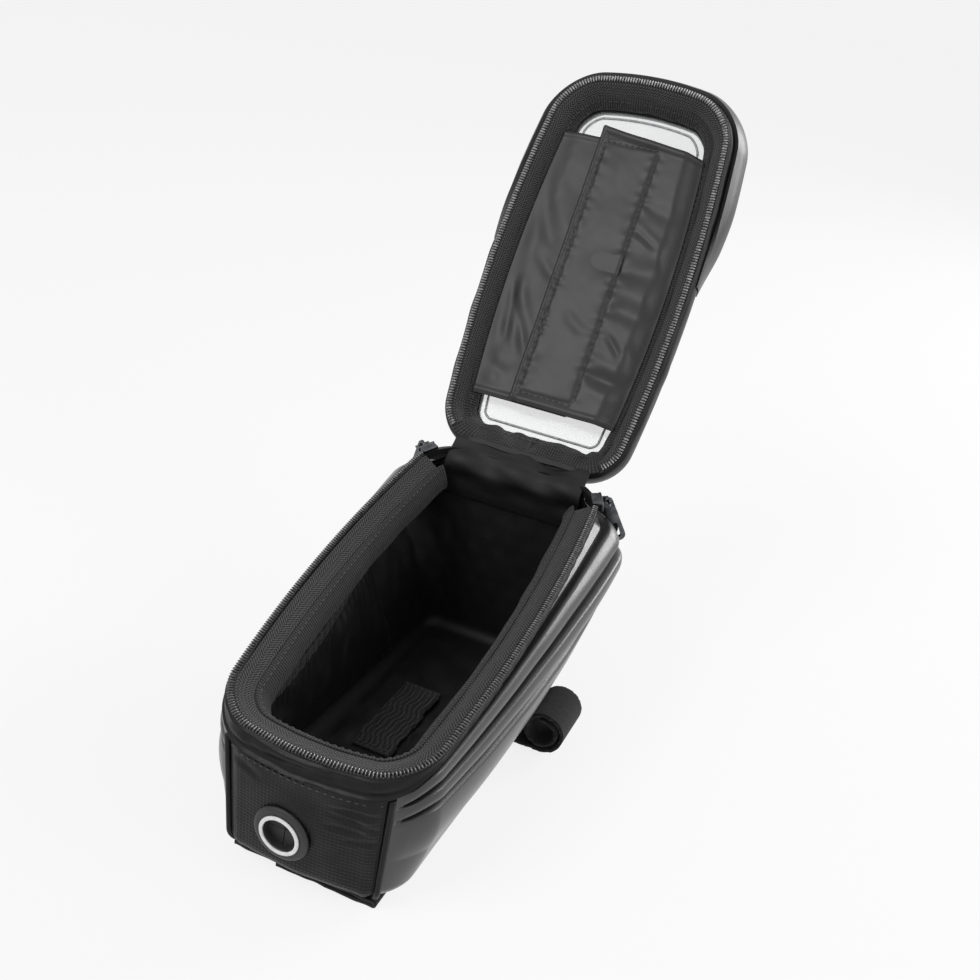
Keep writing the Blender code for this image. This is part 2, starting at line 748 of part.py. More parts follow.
def make_head_strap():
    """It crosses the hinge end panel and bends away from it towards its two rounded ends."""
    reach = RIM_WIDTH / 2 + HEAD_STRAP_OUT
    straight = reach - HEAD_STRAP_TIP
    right = np.linspace(straight, reach, 4)
    x = np.concatenate([-right[::-1], np.linspace(-0.75, 0.75, 5) * straight, right])
    tip = np.clip((np.abs(x) - straight) / (HEAD_STRAP_TIP + HEAD_STRAP_BLUNT), 0, 1)
    half = STRAP_WIDTH / 2 * np.sqrt(1 - tip ** 2)
    y = HINGE_Y + GAP + STRAP / 2 + HEAD_STRAP_STAND * (x / reach) ** 2
    z = HINGE_Z - HEAD_STRAP_DROP - STRAP_WIDTH / 2 + half * np.array([1, -1])[:, None]
    points = np.stack(np.broadcast_arrays(x[None, :], y[None, :], z), axis=-1)
    sheet("head_strap", points, STRAP, HOOK_LOOP)


# Sliders and their pulls

def slider_frame(side):
    """Frame at a slider: X along the zip, Y out of the bag, Z off the rim plane."""
    q = np.array([side * SLIDER_STATION])
    point = to_bag(rim_point(q))[0]
    out = to_bag(rim_point(q, -1.0))[0] - point
    up = to_bag(rim_point(q, 0.0, 1.0))[0] - point
    return axes_matrix(point, np.cross(out, up), out, up)


def pull_outline():
    """A teardrop round the eye at the origin, hanging down -Y."""
    end = PULL_WIDTH / 2
    centre = PULL_LENGTH - end
    round_end = [math.radians(a) for a in range(-180, 1, 20)]
    points = [(end * math.cos(a), -centre + end * math.sin(a)) for a in round_end]
    eye = [math.radians(a) for a in range(20, 161, 20)]
    points += [(PULL_EYE * math.cos(a), PULL_EYE * math.sin(a)) for a in eye]
    return points


def make_slider(side, name):
    frame = slider_frame(side)
    top = -RIM_CLEAR
    half = SLIDER_LENGTH / 2
    plate_from = GAP + 0.0002
    plate_to = plate_from + SLIDER_PLATE
    slider = box(f"slider_{name}", (-half, plate_from, top - SLIDER_DROP), (half, plate_to, top), GUNMETAL)
    edge = slider.modifiers.new("edge", "BEVEL")
    edge.width = 0.0003
    edge.segments = 1
    cap = box(
        f"slider_cap_{name}",
        (-half + 0.0006, -WALL, top - CHAIN_HEIGHT), (half - 0.0006, plate_from + 0.0005, top - 0.0001),
        collection=CUTTERS,
    )
    bar_y = plate_to + BRIDGE_RISE
    middle = top - SLIDER_DROP / 2
    wire = BRIDGE_WIRE / 2
    span = BRIDGE_SPAN / 2
    bar = cylinder(f"bridge_bar_{name}", wire, BRIDGE_SPAN + BRIDGE_WIRE, segments=10)
    bar.matrix_world = frame @ Matrix.Translation((0, bar_y, middle)) @ Matrix.Rotation(math.pi / 2, 4, "Y")
    cap.matrix_world = frame
    combine(slider, cap, "UNION")
    for leg_side in (-1, 1):
        leg = box(
            f"bridge_leg_{name}_{leg_side + 1}",
            (leg_side * span - wire, plate_to - 0.0005, middle - wire * 0.9),
            (leg_side * span + wire * 0.9, bar_y, middle + wire * 0.9),
            collection=CUTTERS,
        )
        leg.matrix_world = frame
        combine(slider, leg, "UNION")
    combine(slider, bar, "UNION")
    slider.matrix_world = frame

    pivot = empty(
        f"pull_axis_{name}",
        frame @ Matrix.Translation((0, bar_y, middle)) @ Matrix.Rotation(PULL_REST, 4, "X"),
    )
    curve = bpy.data.curves.new(f"pull_{name}", "CURVE")
    curve.dimensions = "2D"
    curve.fill_mode = "BOTH"
    curve.extrude = PULL_THICKNESS / 2
    eye = [(a_cos * (wire + PULL_CLEAR), a_sin * (wire + PULL_CLEAR)) for a_cos, a_sin in circle_points(12)]
    slot_top = -PULL_LENGTH + PULL_WIDTH / 2 + PULL_SLOT_LENGTH - PULL_SLOT_WIDTH
    slot_low = -PULL_LENGTH + PULL_WIDTH / 2
    slot = [(PULL_SLOT_WIDTH / 2 * c, (slot_top if s > 0 else slot_low) + PULL_SLOT_WIDTH / 2 * s)
            for c, s in circle_points(12)]
    for loop in (pull_outline(), eye, slot):
        spline = curve.splines.new("POLY")
        spline.points.add(len(loop) - 1)
        for point, (x, y) in zip(spline.points, loop):
            point.co = (x, y, 0, 1)
        spline.use_cyclic_u = True
    curve.materials.append(GUNMETAL)
    pull = bpy.data.objects.new(f"pull_{name}", curve)
    PARTS.objects.link(pull)
    weld = pull.modifiers.new("weld", "WELD")
    weld.merge_threshold = 0.00001
    pull.parent = pivot
    pull.matrix_local = Matrix(((0, 0, 1, 0), (1, 0, 0, 0), (0, 1, 0, 0), (0, 0, 0, 1)))


def circle_points(count):
    angles = [(i + 0.5) * 2 * math.pi / count for i in range(count)]
    return [(math.cos(a), math.sin(a)) for a in angles]


# Lid, made in rim coordinates and hung on the hinge axis

def lid_flare(q, n):
    return LID_FLARE * np.sin(math.pi * np.clip(n / LID_DEPTH, 0, 1)) * (np.abs(q) < 4.0)


def lid_band(name, q, inset, levels, thickness, finish, lid, ring=False):
    """A straight strip inside the lid's wall, from one level to another."""
    faces = [np.stack([rim_point(q, inset + back, n) for n in levels]) for back in (0.0, thickness)]
    hang(shell(name, faces[0], faces[1], finish, ring=ring), lid)


def make_lid():
    lid = empty(
        "lid_hinge_axis",
        Matrix.Translation((0, HINGE_Y, HINGE_Z)) @ Matrix.Rotation(RIM_SLOPE - LID_OPEN, 4, "X"),
    )
    shoulder = LID_DEPTH - LID_ROUND
    at_hinge = smooth((np.abs(RING) - LID_ZIP_END) / 0.5)
    foot = WALL_TOP + (GUSSET_THICK / 2 + GAP - WALL_TOP) * at_hinge
    levels = [foot + (shoulder - GAP - foot) * share for share in (0, 0.5, 1)]
    outer, inner = [
        np.stack([rim_point(RING, inset - lid_flare(RING, n), n) for n in levels])
        for inset in (0.0, WALL)
    ]
    hang(shell("lid_wall", outer, inner, COATED, ring=True), lid)

    frame = []
    for inset in (0.0, LID_SKIN):
        start = inset - lid_flare(RING, shoulder)
        rows = []
        for turn in np.linspace(0, math.pi / 2, 4):
            inwards = start + (LID_ROUND - start) * (1 - math.cos(turn))
            rows.append(rim_point(RING, inwards, shoulder + (LID_ROUND - inset) * math.sin(turn)))
        frame.append(np.stack([*rows, rim_point(RING, FRAME_WIDTH, LID_DEPTH + GAP - inset)]))
    hang(shell("lid_frame", frame[0], frame[1], COATED, ring=True), lid)

    under_frame = LID_DEPTH - LID_SKIN - GAP
    x, s, _ = np.moveaxis(rim_point(RING, WINDOW_INSET, 0.0), -1, 0)
    mesh = bpy.data.meshes.new("window")
    corners = np.stack([x, s, np.full_like(x, under_frame)], axis=-1)
    mesh.from_pydata(corners.tolist(), [], [list(range(len(RING)))])
    window = add_object("window", mesh, CLEAR)
    solid = window.modifiers.new("thickness", "SOLIDIFY")
    solid.thickness = WINDOW
    solid.offset = -1
    hang(window, lid)
    level = under_frame - WINDOW - GAP
    faces = [
        np.stack([rim_point(RING, inset, level - back) for inset in (POCKET_INSET, FRAME_WIDTH)])
        for back in (0.0, LINING)
    ]
    hang(shell("lid_lining", faces[0], faces[1], LINING_CLOTH, ring=True), lid)

    q = stations(-LID_ZIP_END, LID_ZIP_END)
    lid_band("zip_tape_lid", q, TAPE_INSET, (TAPE_TOP - RIM_CLEAR, LID_TAPE_TO), CLOTH, WOVEN, lid)
    chain_levels = (RIM_CLEAR, RIM_CLEAR + CHAIN_HEIGHT)
    lid_band("zip_chain_lid", q, CHAIN_INSET, chain_levels, CHAIN_WIDTH, NYLON, lid)
    binding_levels = (LID_BINDING_FROM, LID_BINDING_TO)
    lid_band("binding_lid", RING, BINDING_INSET, binding_levels, CLOTH, WOVEN, lid, ring=True)
    make_visor(lid)
    make_window_pocket(lid)


def make_visor(lid):
    """A hood round the front half: it leaves the wall, stands out, rises past the frame and turns in."""
    q = stations(-VISOR_END, VISOR_END)
    full = smooth((VISOR_END - np.abs(q)) / 0.30)
    foot = lid_flare(q, VISOR_FOOT) + VISOR_THICK + GAP
    edge = LID_FLARE + VISOR_THICK + GAP
    top = LID_DEPTH + GAP + VISOR_THICK + VISOR_RISE * full
    profile = [
        (foot, VISOR_FOOT + 0 * q),
        (edge + VISOR_OUT * full * 0.6, 0.6 * LID_DEPTH + 0 * q),
        (edge + VISOR_OUT * full, LID_DEPTH + 0 * q),
        (edge * 0.6 + VISOR_OUT * full * 0.6, top),
        (-VISOR_LIP + 0 * q, top + GAP),
    ]
    points = np.stack([rim_point(q, -out, n) for out, n in profile])
    hang(sheet("sun_visor", points, VISOR_THICK, FOAM, offset=-1.0), lid)


def pocket_rows():
    return -np.linspace(POCKET_FRONT, POCKET_REAR, 12)


def pocket_edge(s):
    """Half width of the window pocket at s, on the binding's inner face."""
    half = RIM["half"]
    along = (s + RIM_LENGTH / 2) / (RIM_LENGTH / 2)
    bowed = half + SIDE_BOW * (1 - along ** 2)
    into_front = np.maximum(0, -s - (RIM_LENGTH - FRONT_CORNER))
    into_rear = np.maximum(0, s + REAR_CORNER)
    lost_front = FRONT_CORNER - np.sqrt(FRONT_CORNER ** 2 - into_front ** 2)
    lost_rear = REAR_CORNER - np.sqrt(REAR_CORNER ** 2 - into_rear ** 2)
    return bowed - lost_front - lost_rear - POCKET_INSET


def pocket_surface(side, inner_edge, level):
    """Rows along s from the inner edge to the side: flat at a level, then rising to the sewn edge."""
    s = pocket_rows()[:, None]
    edge = pocket_edge(s)
    across = np.concatenate([np.linspace(0, 0.72, 4), [0.82, 0.91, 1.0]])[None, :]
    x = -inner_edge + (edge + inner_edge) * across
    rise = smooth((x - (edge - POCKET_SHOULDER)) / POCKET_SHOULDER)
    n = level + (POCKET_EDGE_LEVEL - level) * rise
    points = np.stack(np.broadcast_arrays(side * x, s, n), axis=-1)
    return points[:, ::-1] if side < 0 else points


def make_window_pocket(lid):
    panel = pocket_surface(-1, PANEL_EDGE, POCKET_LEVEL)
    flap = pocket_surface(1, FLAP_EDGE, FLAP_LEVEL)
    hang(sheet("pocket_panel", panel, CLOTH, SATIN_PANEL), lid)
    hang(sheet("pocket_flap", flap, CLOTH, SATIN_PANEL), lid)
    flap_back = FLAP_LEVEL + CLOTH / 2 + GAP
    panel_front = POCKET_LEVEL - CLOTH / 2 - GAP
    half = STRIP_WIDTH / 2 - STRIP_SIDE_ROOM
    for name, low in (("hook_strip", flap_back), ("loop_strip", panel_front - STRIP_THICK)):
        top = (half - STRIP_SIDE_ROOM, -STRIP_REAR, low + STRIP_THICK)
        strip = box(name, (-half, -STRIP_FRONT, low), top, HOOK_LOOP)
        hang(strip, lid)


make_base()
make_shell()
make_piping()
make_lining()
make_zip()
make_cable_port()
make_inner_pocket()
make_floor_band()
make_gusset()
make_front_strap()
make_mid_strap()
make_head_strap()
make_slider(1, "right")
make_slider(-1, "left")
make_lid()
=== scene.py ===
# Top tube bag with its window lid open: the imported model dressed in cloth, foam, zip and webbing
import math

import bmesh
import bpy
import numpy as np
from mathutils import Matrix, Vector


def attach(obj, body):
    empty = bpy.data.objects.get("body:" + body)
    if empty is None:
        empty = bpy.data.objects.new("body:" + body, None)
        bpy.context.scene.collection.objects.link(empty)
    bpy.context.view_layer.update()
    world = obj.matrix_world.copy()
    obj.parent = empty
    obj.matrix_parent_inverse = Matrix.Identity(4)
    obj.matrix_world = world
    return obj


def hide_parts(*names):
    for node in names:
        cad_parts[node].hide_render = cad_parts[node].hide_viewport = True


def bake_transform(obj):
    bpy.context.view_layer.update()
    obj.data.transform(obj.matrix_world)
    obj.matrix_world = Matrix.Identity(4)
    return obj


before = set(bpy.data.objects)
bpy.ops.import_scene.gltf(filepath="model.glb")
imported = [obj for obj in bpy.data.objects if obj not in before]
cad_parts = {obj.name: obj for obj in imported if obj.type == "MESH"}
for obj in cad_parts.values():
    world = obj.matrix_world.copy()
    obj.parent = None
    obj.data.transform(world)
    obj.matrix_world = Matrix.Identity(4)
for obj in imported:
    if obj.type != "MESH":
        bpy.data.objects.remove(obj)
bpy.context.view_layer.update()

# form of the bag, the same values as the solids, in metres
form = {
    "rimLength": 0.190,                # along the sloping rim
    "rimSlope": math.radians(12.6),
    "frontHeight": 0.063,
    "baseTurn": 0.006,                 # radius where the walls meet the base
    "turnShare": 0.1,
    "wall": 0.0032,
    "bulgeFront": 0.006,
    "bulgeRear": 0.016,
    "peakFront": 0.50,
    "peakRear": 0.78,
    "frontSeam": 1.35,                 # stations of the upright seams
    "rearSeam": 3.8,
    "frontBand": 0.0115,
    "sideBand": 0.0055,
    "bandGap": 0.0003,                 # between the band and the panels below it
    "seamRoom": 0.05,                  # in stations, between a shell and the seam
    "lidOpen": math.radians(137),
    "lidDepth": 0.018,
    "lidRound": 0.005,
    "lidFlare": 0.002,
    "zipEnd": 3.09,
    "lidZipEnd": 3.50,
    "floor": 0.0055,
}
hingeY = form["rimLength"] * math.cos(form["rimSlope"]) / 2
hingeZ = form["frontHeight"] + form["rimLength"] * math.sin(form["rimSlope"])
rim = {"half": 0.0434, "front": -form["rimLength"], "rear": 0.0, "frontCorner": 0.0184,
       "rearCorner": 0.0179, "sideBow": 0.0066, "frontBow": 0.0067}
base = {"half": 0.038, "front": -hingeY + 0.0007, "rear": hingeY - 0.004, "frontCorner": 0.013,
        "rearCorner": 0.013, "sideBow": 0.0, "frontBow": 0.005}
millimetre = 0.001
perMetre = 1000                        # patterns are drawn in millimetres


# Surfaces

def smooth(t):
    # rises from 0 to 1 with no slope at its ends
    t = np.clip(t, 0, 1)
    return t * t * (3 - 2 * t)


def outline(q, shape):
    # plan of a rounded rectangle whose sides and front bow out, as x and y at station q:
    # 0 front centre, 1 to 2 front corner, 2 to 3 side, 3 to 4 rear corner, 5 rear centre, minus on the left
    side = np.where(q < 0, -1.0, 1.0)
    p = np.abs(q)
    half, front, rear = shape["half"], shape["front"], shape["rear"]
    frontCorner, rearCorner = shape["frontCorner"], shape["rearCorner"]
    frontTurn = (p - 1) * math.pi / 2
    rearTurn = (p - 3) * math.pi / 2
    run = rear - rearCorner - front - frontCorner
    stretches = [p < 1, p < 2, p < 3, p < 4]
    x = np.select(stretches, [
        p * (half - frontCorner),
        half - frontCorner + frontCorner * np.sin(frontTurn),
        half + 0 * p,
        half - rearCorner + rearCorner * np.cos(rearTurn),
    ], (5 - p) * (half - rearCorner))
    y = np.select(stretches, [
        front + 0 * p,
        front + frontCorner - frontCorner * np.cos(frontTurn),
        front + frontCorner + (p - 2) * run,
        rear - rearCorner + rearCorner * np.sin(rearTurn),
    ], rear + 0 * p)
    middle = (front + rear) / 2
    along = (y - middle) / ((rear - front) / 2)
    share = x / half
    bowedX = x + shape["sideBow"] * np.clip(1 - along ** 2, 0, 1) * np.minimum(1, share)
    bowedY = y - shape["frontBow"] * (1 - share ** 2) * (y < middle)
    return side * bowedX, bowedY


def planNormal(q, shape):
    # outward normal of the outline, from the difference of two close points
    step = 1e-3
    x0, y0 = outline(q - step, shape)
    x1, y1 = outline(q + step, shape)
    length = np.hypot(x1 - x0, y1 - y0)
    return (y1 - y0) / length, -(x1 - x0) / length


def rimPoint(q, inset=0.0, n=0.0):
    # point of the rim outline moved inwards, as x, s along the rim and n off the rim plane
    x, s = outline(q, rim)
    nx, ny = planNormal(q, rim)
    return joined(x - nx * inset, s - ny * inset, n)


def turned(points, angle):
    # x, s, n turned about the hinge axis and put in the bag's frame
    x, s, n = np.moveaxis(points, -1, 0)
    y = hingeY + s * math.cos(angle) - n * math.sin(angle)
    z = hingeZ + s * math.sin(angle) + n * math.cos(angle)
    return np.stack([x, y, z], axis=-1)


def toBag(points):
    return turned(points, form["rimSlope"])


def toLid(points):
    return turned(points, form["rimSlope"] - form["lidOpen"])


def rimHeight(q):
    return hingeZ + outline(q, rim)[1] * math.sin(form["rimSlope"])


def bulge(q, share):
    # how far a side shell stands out: a sine over the height whose peak climbs towards the rear
    p = np.abs(q)
    along = np.clip(p - 2, 0, 1)
    most = form["bulgeFront"] + (form["bulgeRear"] - form["bulgeFront"]) * along
    ends = smooth((p - form["frontSeam"]) / 0.9) * smooth((form["rearSeam"] - p) / 0.75)
    peak = form["peakFront"] + (form["peakRear"] - form["peakFront"]) * along
    belowBand = np.clip(share / (1 - form["sideBand"] / rimHeight(q)), 0, 1)
    return most * ends * np.sin(math.pi * belowBand ** (math.log(0.5) / np.log(peak)))


def wall(q, v, bulged=True):
    # outer surface: the base outline at v = 0, a quarter turn, then straight to the rim outline at v = 1
    q, v = np.broadcast_arrays(q, v)
    turnShare, turn = form["turnShare"], form["baseTurn"]
    baseX, baseY = outline(q, base)
    top = toBag(rimPoint(q))
    height = rimHeight(q)
    angle = np.clip(v / turnShare, 0, 1) * math.pi / 2
    above = turn + (v - turnShare) / (1 - turnShare) * (height - turn)
    z = np.where(v < turnShare, turn * (1 - np.cos(angle)), above)
    share = z / height
    out = bulge(q, share) * bulged - turn * (1 - np.sin(angle))
    baseNx, baseNy = planNormal(q, base)
    rimNx, rimNy = planNormal(q, rim)
    nx = baseNx + (rimNx - baseNx) * share
    ny = baseNy + (rimNy - baseNy) * share
    x = baseX + (top[..., 0] - baseX) * share + nx * out
    y = baseY + (top[..., 1] - baseY) * share + ny * out
    return np.stack([x, y, z], axis=-1)


def belowRim(q, depth):
    return 1 - (1 - form["turnShare"]) * depth / (rimHeight(q) - form["baseTurn"])


def atHeight(q, z):
    turnShare, turn = form["turnShare"], form["baseTurn"]
    return turnShare + (1 - turnShare) * (z - turn) / (rimHeight(q) - turn)


def wallNormal(q, v, bulged=True):
    step = 1e-3
    across = wall(q + step, v, bulged) - wall(q - step, v, bulged)
    up = wall(q, v + step, bulged) - wall(q, np.maximum(v - step, 0), bulged)
    normal = np.cross(across, up)
    return normal / np.linalg.norm(normal, axis=-1, keepdims=True)


def skin(q, v, depth, bulged=True):
    # the wall moved inwards by depth along its normal
    q, v, depth = np.broadcast_arrays(q, v, depth)
    return wall(q, v, bulged) - wallNormal(q, v, bulged) * depth[..., None]


def bandDepth(q):
    # depth of the rim band's lower edge: deep across the front, shallow along the sides
    rise = smooth((1.95 - np.abs(q)) / 0.7)
    return form["sideBand"] + (form["frontBand"] - form["sideBand"]) * rise


def stations(start, end, count):
    # stations evenly spaced along the rim
    fine = np.linspace(start, end, 4001)
    x, s = outline(fine, rim)
    run = np.concatenate([[0], np.cumsum(np.hypot(np.diff(x), np.diff(s)))])
    return np.interp(np.linspace(0, run[-1], count), run, fine)


def ringStations(count):
    return stations(-5, 5, count + 1)[:-1]


def wallRows(q, topDepth, turnRows, bodyRows):
    # heights v from the base's edge to a depth below the rim
    turn = np.linspace(0, 1, turnRows, endpoint=False)[:, None] * form["turnShare"] + 0 * q
    top = belowRim(q, topDepth)
    body = form["turnShare"] + (top - form["turnShare"]) * np.linspace(0, 1, bodyRows)[:, None]
    return np.concatenate([turn, body])


def pathLength(points, axis):
    # distance along a grid's rows or columns, averaged over the other direction
    steps = np.linalg.norm(np.diff(points, axis=axis), axis=-1)
    return np.concatenate([[0], np.cumsum(steps.mean(axis=1 - axis))])


def runAlong(path):
    # distance of each point from the start of a path
    return np.concatenate([[0], np.cumsum(np.linalg.norm(np.diff(path, axis=0), axis=-1))])


def between(at, run, values):
    # each column of values, read at these distances
    return np.stack([np.interp(at, run, column) for column in values.T], axis=-1)


def joined(x, y, z):
    # points from three coordinates that broadcast together
    return np.stack(np.broadcast_arrays(x, y, z), axis=-1)


def undulation(u, v, wavelength, seed, count=14):
    # smooth random relief between about -1 and 1: a sum of sine waves in random directions
    random = np.random.default_rng(seed)
    angle = random.uniform(0, 2 * math.pi, count)
    wave = 2 * math.pi / (wavelength * random.uniform(0.7, 1.5, count))
    phase = random.uniform(0, 2 * math.pi, count)
    total = sum(np.sin(k * (u * math.cos(a) + v * math.sin(a)) + f) for a, k, f in zip(angle, wave, phase))
    return total / math.sqrt(count)


def creases(u, v, rows):
    # pressed-in folds: each is a trough along a line, with a soft end and a low ridge on both sides
    total = 0 * u * v
    for atU, atV, angle, length, width, depth in rows:
        a = math.radians(angle)
        du = u - atU * millimetre
        dv = v - atV * millimetre
        along = (du * math.cos(a) + dv * math.sin(a)) / (length * millimetre / 2)
        across = (dv * math.cos(a) - du * math.sin(a)) / (width * millimetre)
        trough = np.exp(-across ** 2) - 0.35 * np.exp(-(np.abs(across) - 2) ** 2)
        total = total - depth * millimetre * trough * np.exp(-along ** 4)
    return total


# Meshes

def merge(mesh, outward=False, flat=False):
    # coincident points become one; then faces are turned outward, or flat areas become single faces
    work = bmesh.new()
    work.from_mesh(mesh)
    bmesh.ops.remove_doubles(work, verts=work.verts, dist=1e-6)
    if outward:
        bmesh.ops.recalc_face_normals(work, faces=work.faces)
    if flat:
        bmesh.ops.dissolve_limit(work, angle_limit=math.radians(2), verts=work.verts, edges=work.edges)
    work.to_mesh(mesh)
    work.free()


def gridMesh(name, outer, inner=None, closed=False, weld=False):
    # a grid of points as quads; with an inner grid it is a closed solid. The UV map is in metres
    rows, columns = outer.shape[:2]
    index = np.arange(rows * columns).reshape(rows, columns)
    laid = outer
    if closed:
        index = np.concatenate([index, index[:, :1]], axis=1)
        laid = np.concatenate([outer, outer[:, :1]], axis=1)
    u, v = pathLength(laid, 1), pathLength(laid, 0)
    r, c = np.meshgrid(np.arange(rows - 1), np.arange(index.shape[1] - 1), indexing="ij")
    r = np.stack([r, r, r + 1, r + 1], axis=-1).reshape(-1, 4)
    c = np.stack([c, c + 1, c + 1, c], axis=-1).reshape(-1, 4)
    faces, places = [index[r, c]], [np.stack([u[c], v[r]], axis=-1)]
    points = [outer.reshape(-1, 3)]
    if inner is not None:
        back = index + rows * columns
        points.append(inner.reshape(-1, 3))
        faces.append(back[r[:, ::-1], c[:, ::-1]])
        places.append(places[0][:, ::-1])
        ends = [(0, slice(None, None, -1)), (-1, slice(None))]
        for row, order in ends:
            line, under, at = index[row][order], back[row][order], u[order]
            faces.append(np.stack([line[:-1], line[1:], under[1:], under[:-1]], axis=-1))
            edge = np.full(len(line) - 1, v[row])
            places.append(np.stack([
                np.stack([at[:-1], at[1:], at[1:], at[:-1]], axis=-1),
                np.stack([edge, edge, edge + millimetre, edge + millimetre], axis=-1),
            ], axis=-1))
        if not closed:
            for column, order in ((0, slice(None)), (-1, slice(None, None, -1))):
                line, under, at = index[:, column][order], back[:, column][order], v[order]
                faces.append(np.stack([line[:-1], line[1:], under[1:], under[:-1]], axis=-1))
                edge = np.full(len(line) - 1, u[column])
                places.append(np.stack([
                    np.stack([edge, edge, edge + millimetre, edge + millimetre], axis=-1),
                    np.stack([at[:-1], at[1:], at[1:], at[:-1]], axis=-1),
                ], axis=-1))
    mesh = bpy.data.meshes.new(name)
    mesh.from_pydata(np.concatenate(points).tolist(), [], np.concatenate(faces).tolist())
    layer = mesh.uv_layers.new(name="cloth")
    layer.uv.foreach_set("vector", np.concatenate(places).reshape(-1).astype(np.float32))
    if weld:
        merge(mesh)
    return mesh


def addPiece(name, mesh, finish, body, nodes=()):
    # an object with its finish and moving body, and the solids it stands for hidden
    material, slot = finishes[finish]
    made = bpy.data.objects.new(name, mesh)
    bpy.context.scene.collection.objects.link(made)
    mesh.materials.append(material)
    mesh.shade_smooth()
    mesh.set_sharp_from_angle(angle=math.radians(50))
    if body:
        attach(made, body)
    if nodes:
        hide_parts(*nodes)
    return made


def addGrid(name, finish, body, nodes, outer, inner=None, closed=False, weld=False):
    return addPiece(name, gridMesh(name, outer, inner, closed, weld), finish, body, nodes)


def thicken(piece, thickness):
    # a sheet gets half its thickness on each side
    solid = piece.modifiers.new("thickness", "SOLIDIFY")
    solid.thickness = thickness
    solid.offset = 0.0


def roundEdges(piece, width, degrees):
    edge = piece.modifiers.new("edge", "BEVEL")
    edge.width = width
    edge.segments = 3
    edge.limit_method = "ANGLE"
    edge.angle_limit = math.radians(degrees)


def bar(length, width, height, dip=0.0, sides=6):
    # a rounded bar along its first axis: rings shrink towards both ends and dip below the middle
    t = np.linspace(-1, 1, 5)
    reach = np.sqrt(np.clip(1.08 - t ** 2, 0, 1))[:, None]
    angle = np.arange(sides) * 2 * math.pi / sides
    ring = joined(t[:, None] * length / 2, reach * np.cos(angle) * width / 2,
                  reach * np.sin(angle) * height / 2 - dip * t[:, None] ** 2)
    index = np.arange(5 * sides).reshape(5, sides)
    after = np.roll(index, -1, axis=1)
    quads = np.stack([index[:-1], index[1:], after[1:], after[:-1]], axis=-1).reshape(-1, 4)
    return ring.reshape(-1, 3), quads, np.stack([index[0], index[-1, ::-1]])


def repeatedMesh(name, shape, places, along, side, out):
    # copies of a small shape at many places, turned to the three directions there
    points, quads, caps = shape
    axes = np.stack([along, side, out], axis=1)
    copies = places[:, None, :] + np.einsum("pk,nkj->npj", points, axes)
    shift = (np.arange(len(places)) * len(points))[:, None, None]
    faces = (quads[None] + shift).reshape(-1, 4).tolist()
    faces += (caps[None] + shift).reshape(-1, caps.shape[1]).tolist()
    mesh = bpy.data.meshes.new(name)
    mesh.from_pydata(copies.reshape(-1, 3).tolist(), [], faces)
    return mesh


def spaced(path, normals, pitch):
    # evenly spaced places along a path, with the directions along, across and out of the surface
    run = runAlong(path)
    count = max(2, int(run[-1] / pitch))
    at = (np.arange(count) + 0.5) * run[-1] / count
    places = between(at, run, path)
    out = between(at, run, normals)
    along = between(at + pitch / 4, run, path) - between(at - pitch / 4, run, path)
    along /= np.linalg.norm(along, axis=-1, keepdims=True)
    out -= along * np.sum(out * along, axis=-1, keepdims=True)
    out /= np.linalg.norm(out, axis=-1, keepdims=True)
    return places, along, np.cross(out, along), out


# a lockstitch in bonded thread: about six to the inch
stitch = {"pitch": 0.0030, "length": 0.0021, "width": 0.00075, "height": 0.0007, "dip": 0.00035}


def sewLines(name, lines, body):
    # rows of stitches, each line a path and the direction out of the cloth
    shape = bar(stitch["length"], stitch["width"], stitch["height"], stitch["dip"])
    rows = [spaced(path, normals, stitch["pitch"]) for path, normals in lines]
    parts = [np.concatenate(group) for group in zip(*rows)]
    addPiece(name, repeatedMesh(name, shape, *parts), "thread", body)


def gridNormals(points):
    across = np.gradient(points, axis=1)
    up = np.gradient(points, axis=0)
    normal = np.cross(across, up)
    return normal / np.maximum(np.linalg.norm(normal, axis=-1, keepdims=True), 1e-12)


# Finishes

def linear(hexColour):
    # sRGB hex to linear colour
    value = np.array([int(hexColour[i:i + 2], 16) for i in (1, 3, 5)]) / 255
    value = np.where(value <= 0.04045, value / 12.92, ((value + 0.055) / 1.055) ** 2.4)
    return (*value.tolist(), 1.0)


def addNode(tree, kind, inputs=None, **settings):
    # a node with its settings, and its inputs as plain values or links from other sockets
    made = tree.nodes.new("ShaderNode" + kind)
    for key, value in settings.items():
        setattr(made, key, value)
    for key, value in (inputs or {}).items():
        if isinstance(value, bpy.types.NodeSocket):
            tree.links.new(value, made.inputs[key])
        else:
            made.inputs[key].default_value = value
    return made


def newMaterial(name, **sockets):
    made = bpy.data.materials.new(name)
    made.use_nodes = True
    shader = made.node_tree.nodes["Principled BSDF"]
    for key, value in sockets.items():
        shader.inputs[key.replace("_", " ")].default_value = value
    return made, made.node_tree, shader


def clothPlace(tree):
    # the piece's own UV map in millimetres
    place = addNode(tree, "UVMap", uv_map="cloth")
    mapping = addNode(tree, "Mapping", {"Vector": place.outputs[0], "Scale": (perMetre,) * 3})
    return addNode(tree, "SeparateXYZ", {"Vector": mapping.outputs[0]})


def objectPlace(tree):
    place = addNode(tree, "TexCoord")
    return addNode(tree, "Mapping", {"Vector": place.outputs["Object"], "Scale": (perMetre,) * 3}).outputs[0]


def wave(tree, socket, pitch):
    # sine with this pitch in millimetres
    turn = product(tree, socket, 2 * math.pi / pitch)
    return addNode(tree, "Math", {0: turn}, operation="SINE").outputs[0]


def crossed(tree, place, pitch):
    # over and under of two sets of threads: the product of two sines
    return product(tree, wave(tree, place.outputs[0], 2 * pitch), wave(tree, place.outputs[1], 2 * pitch))


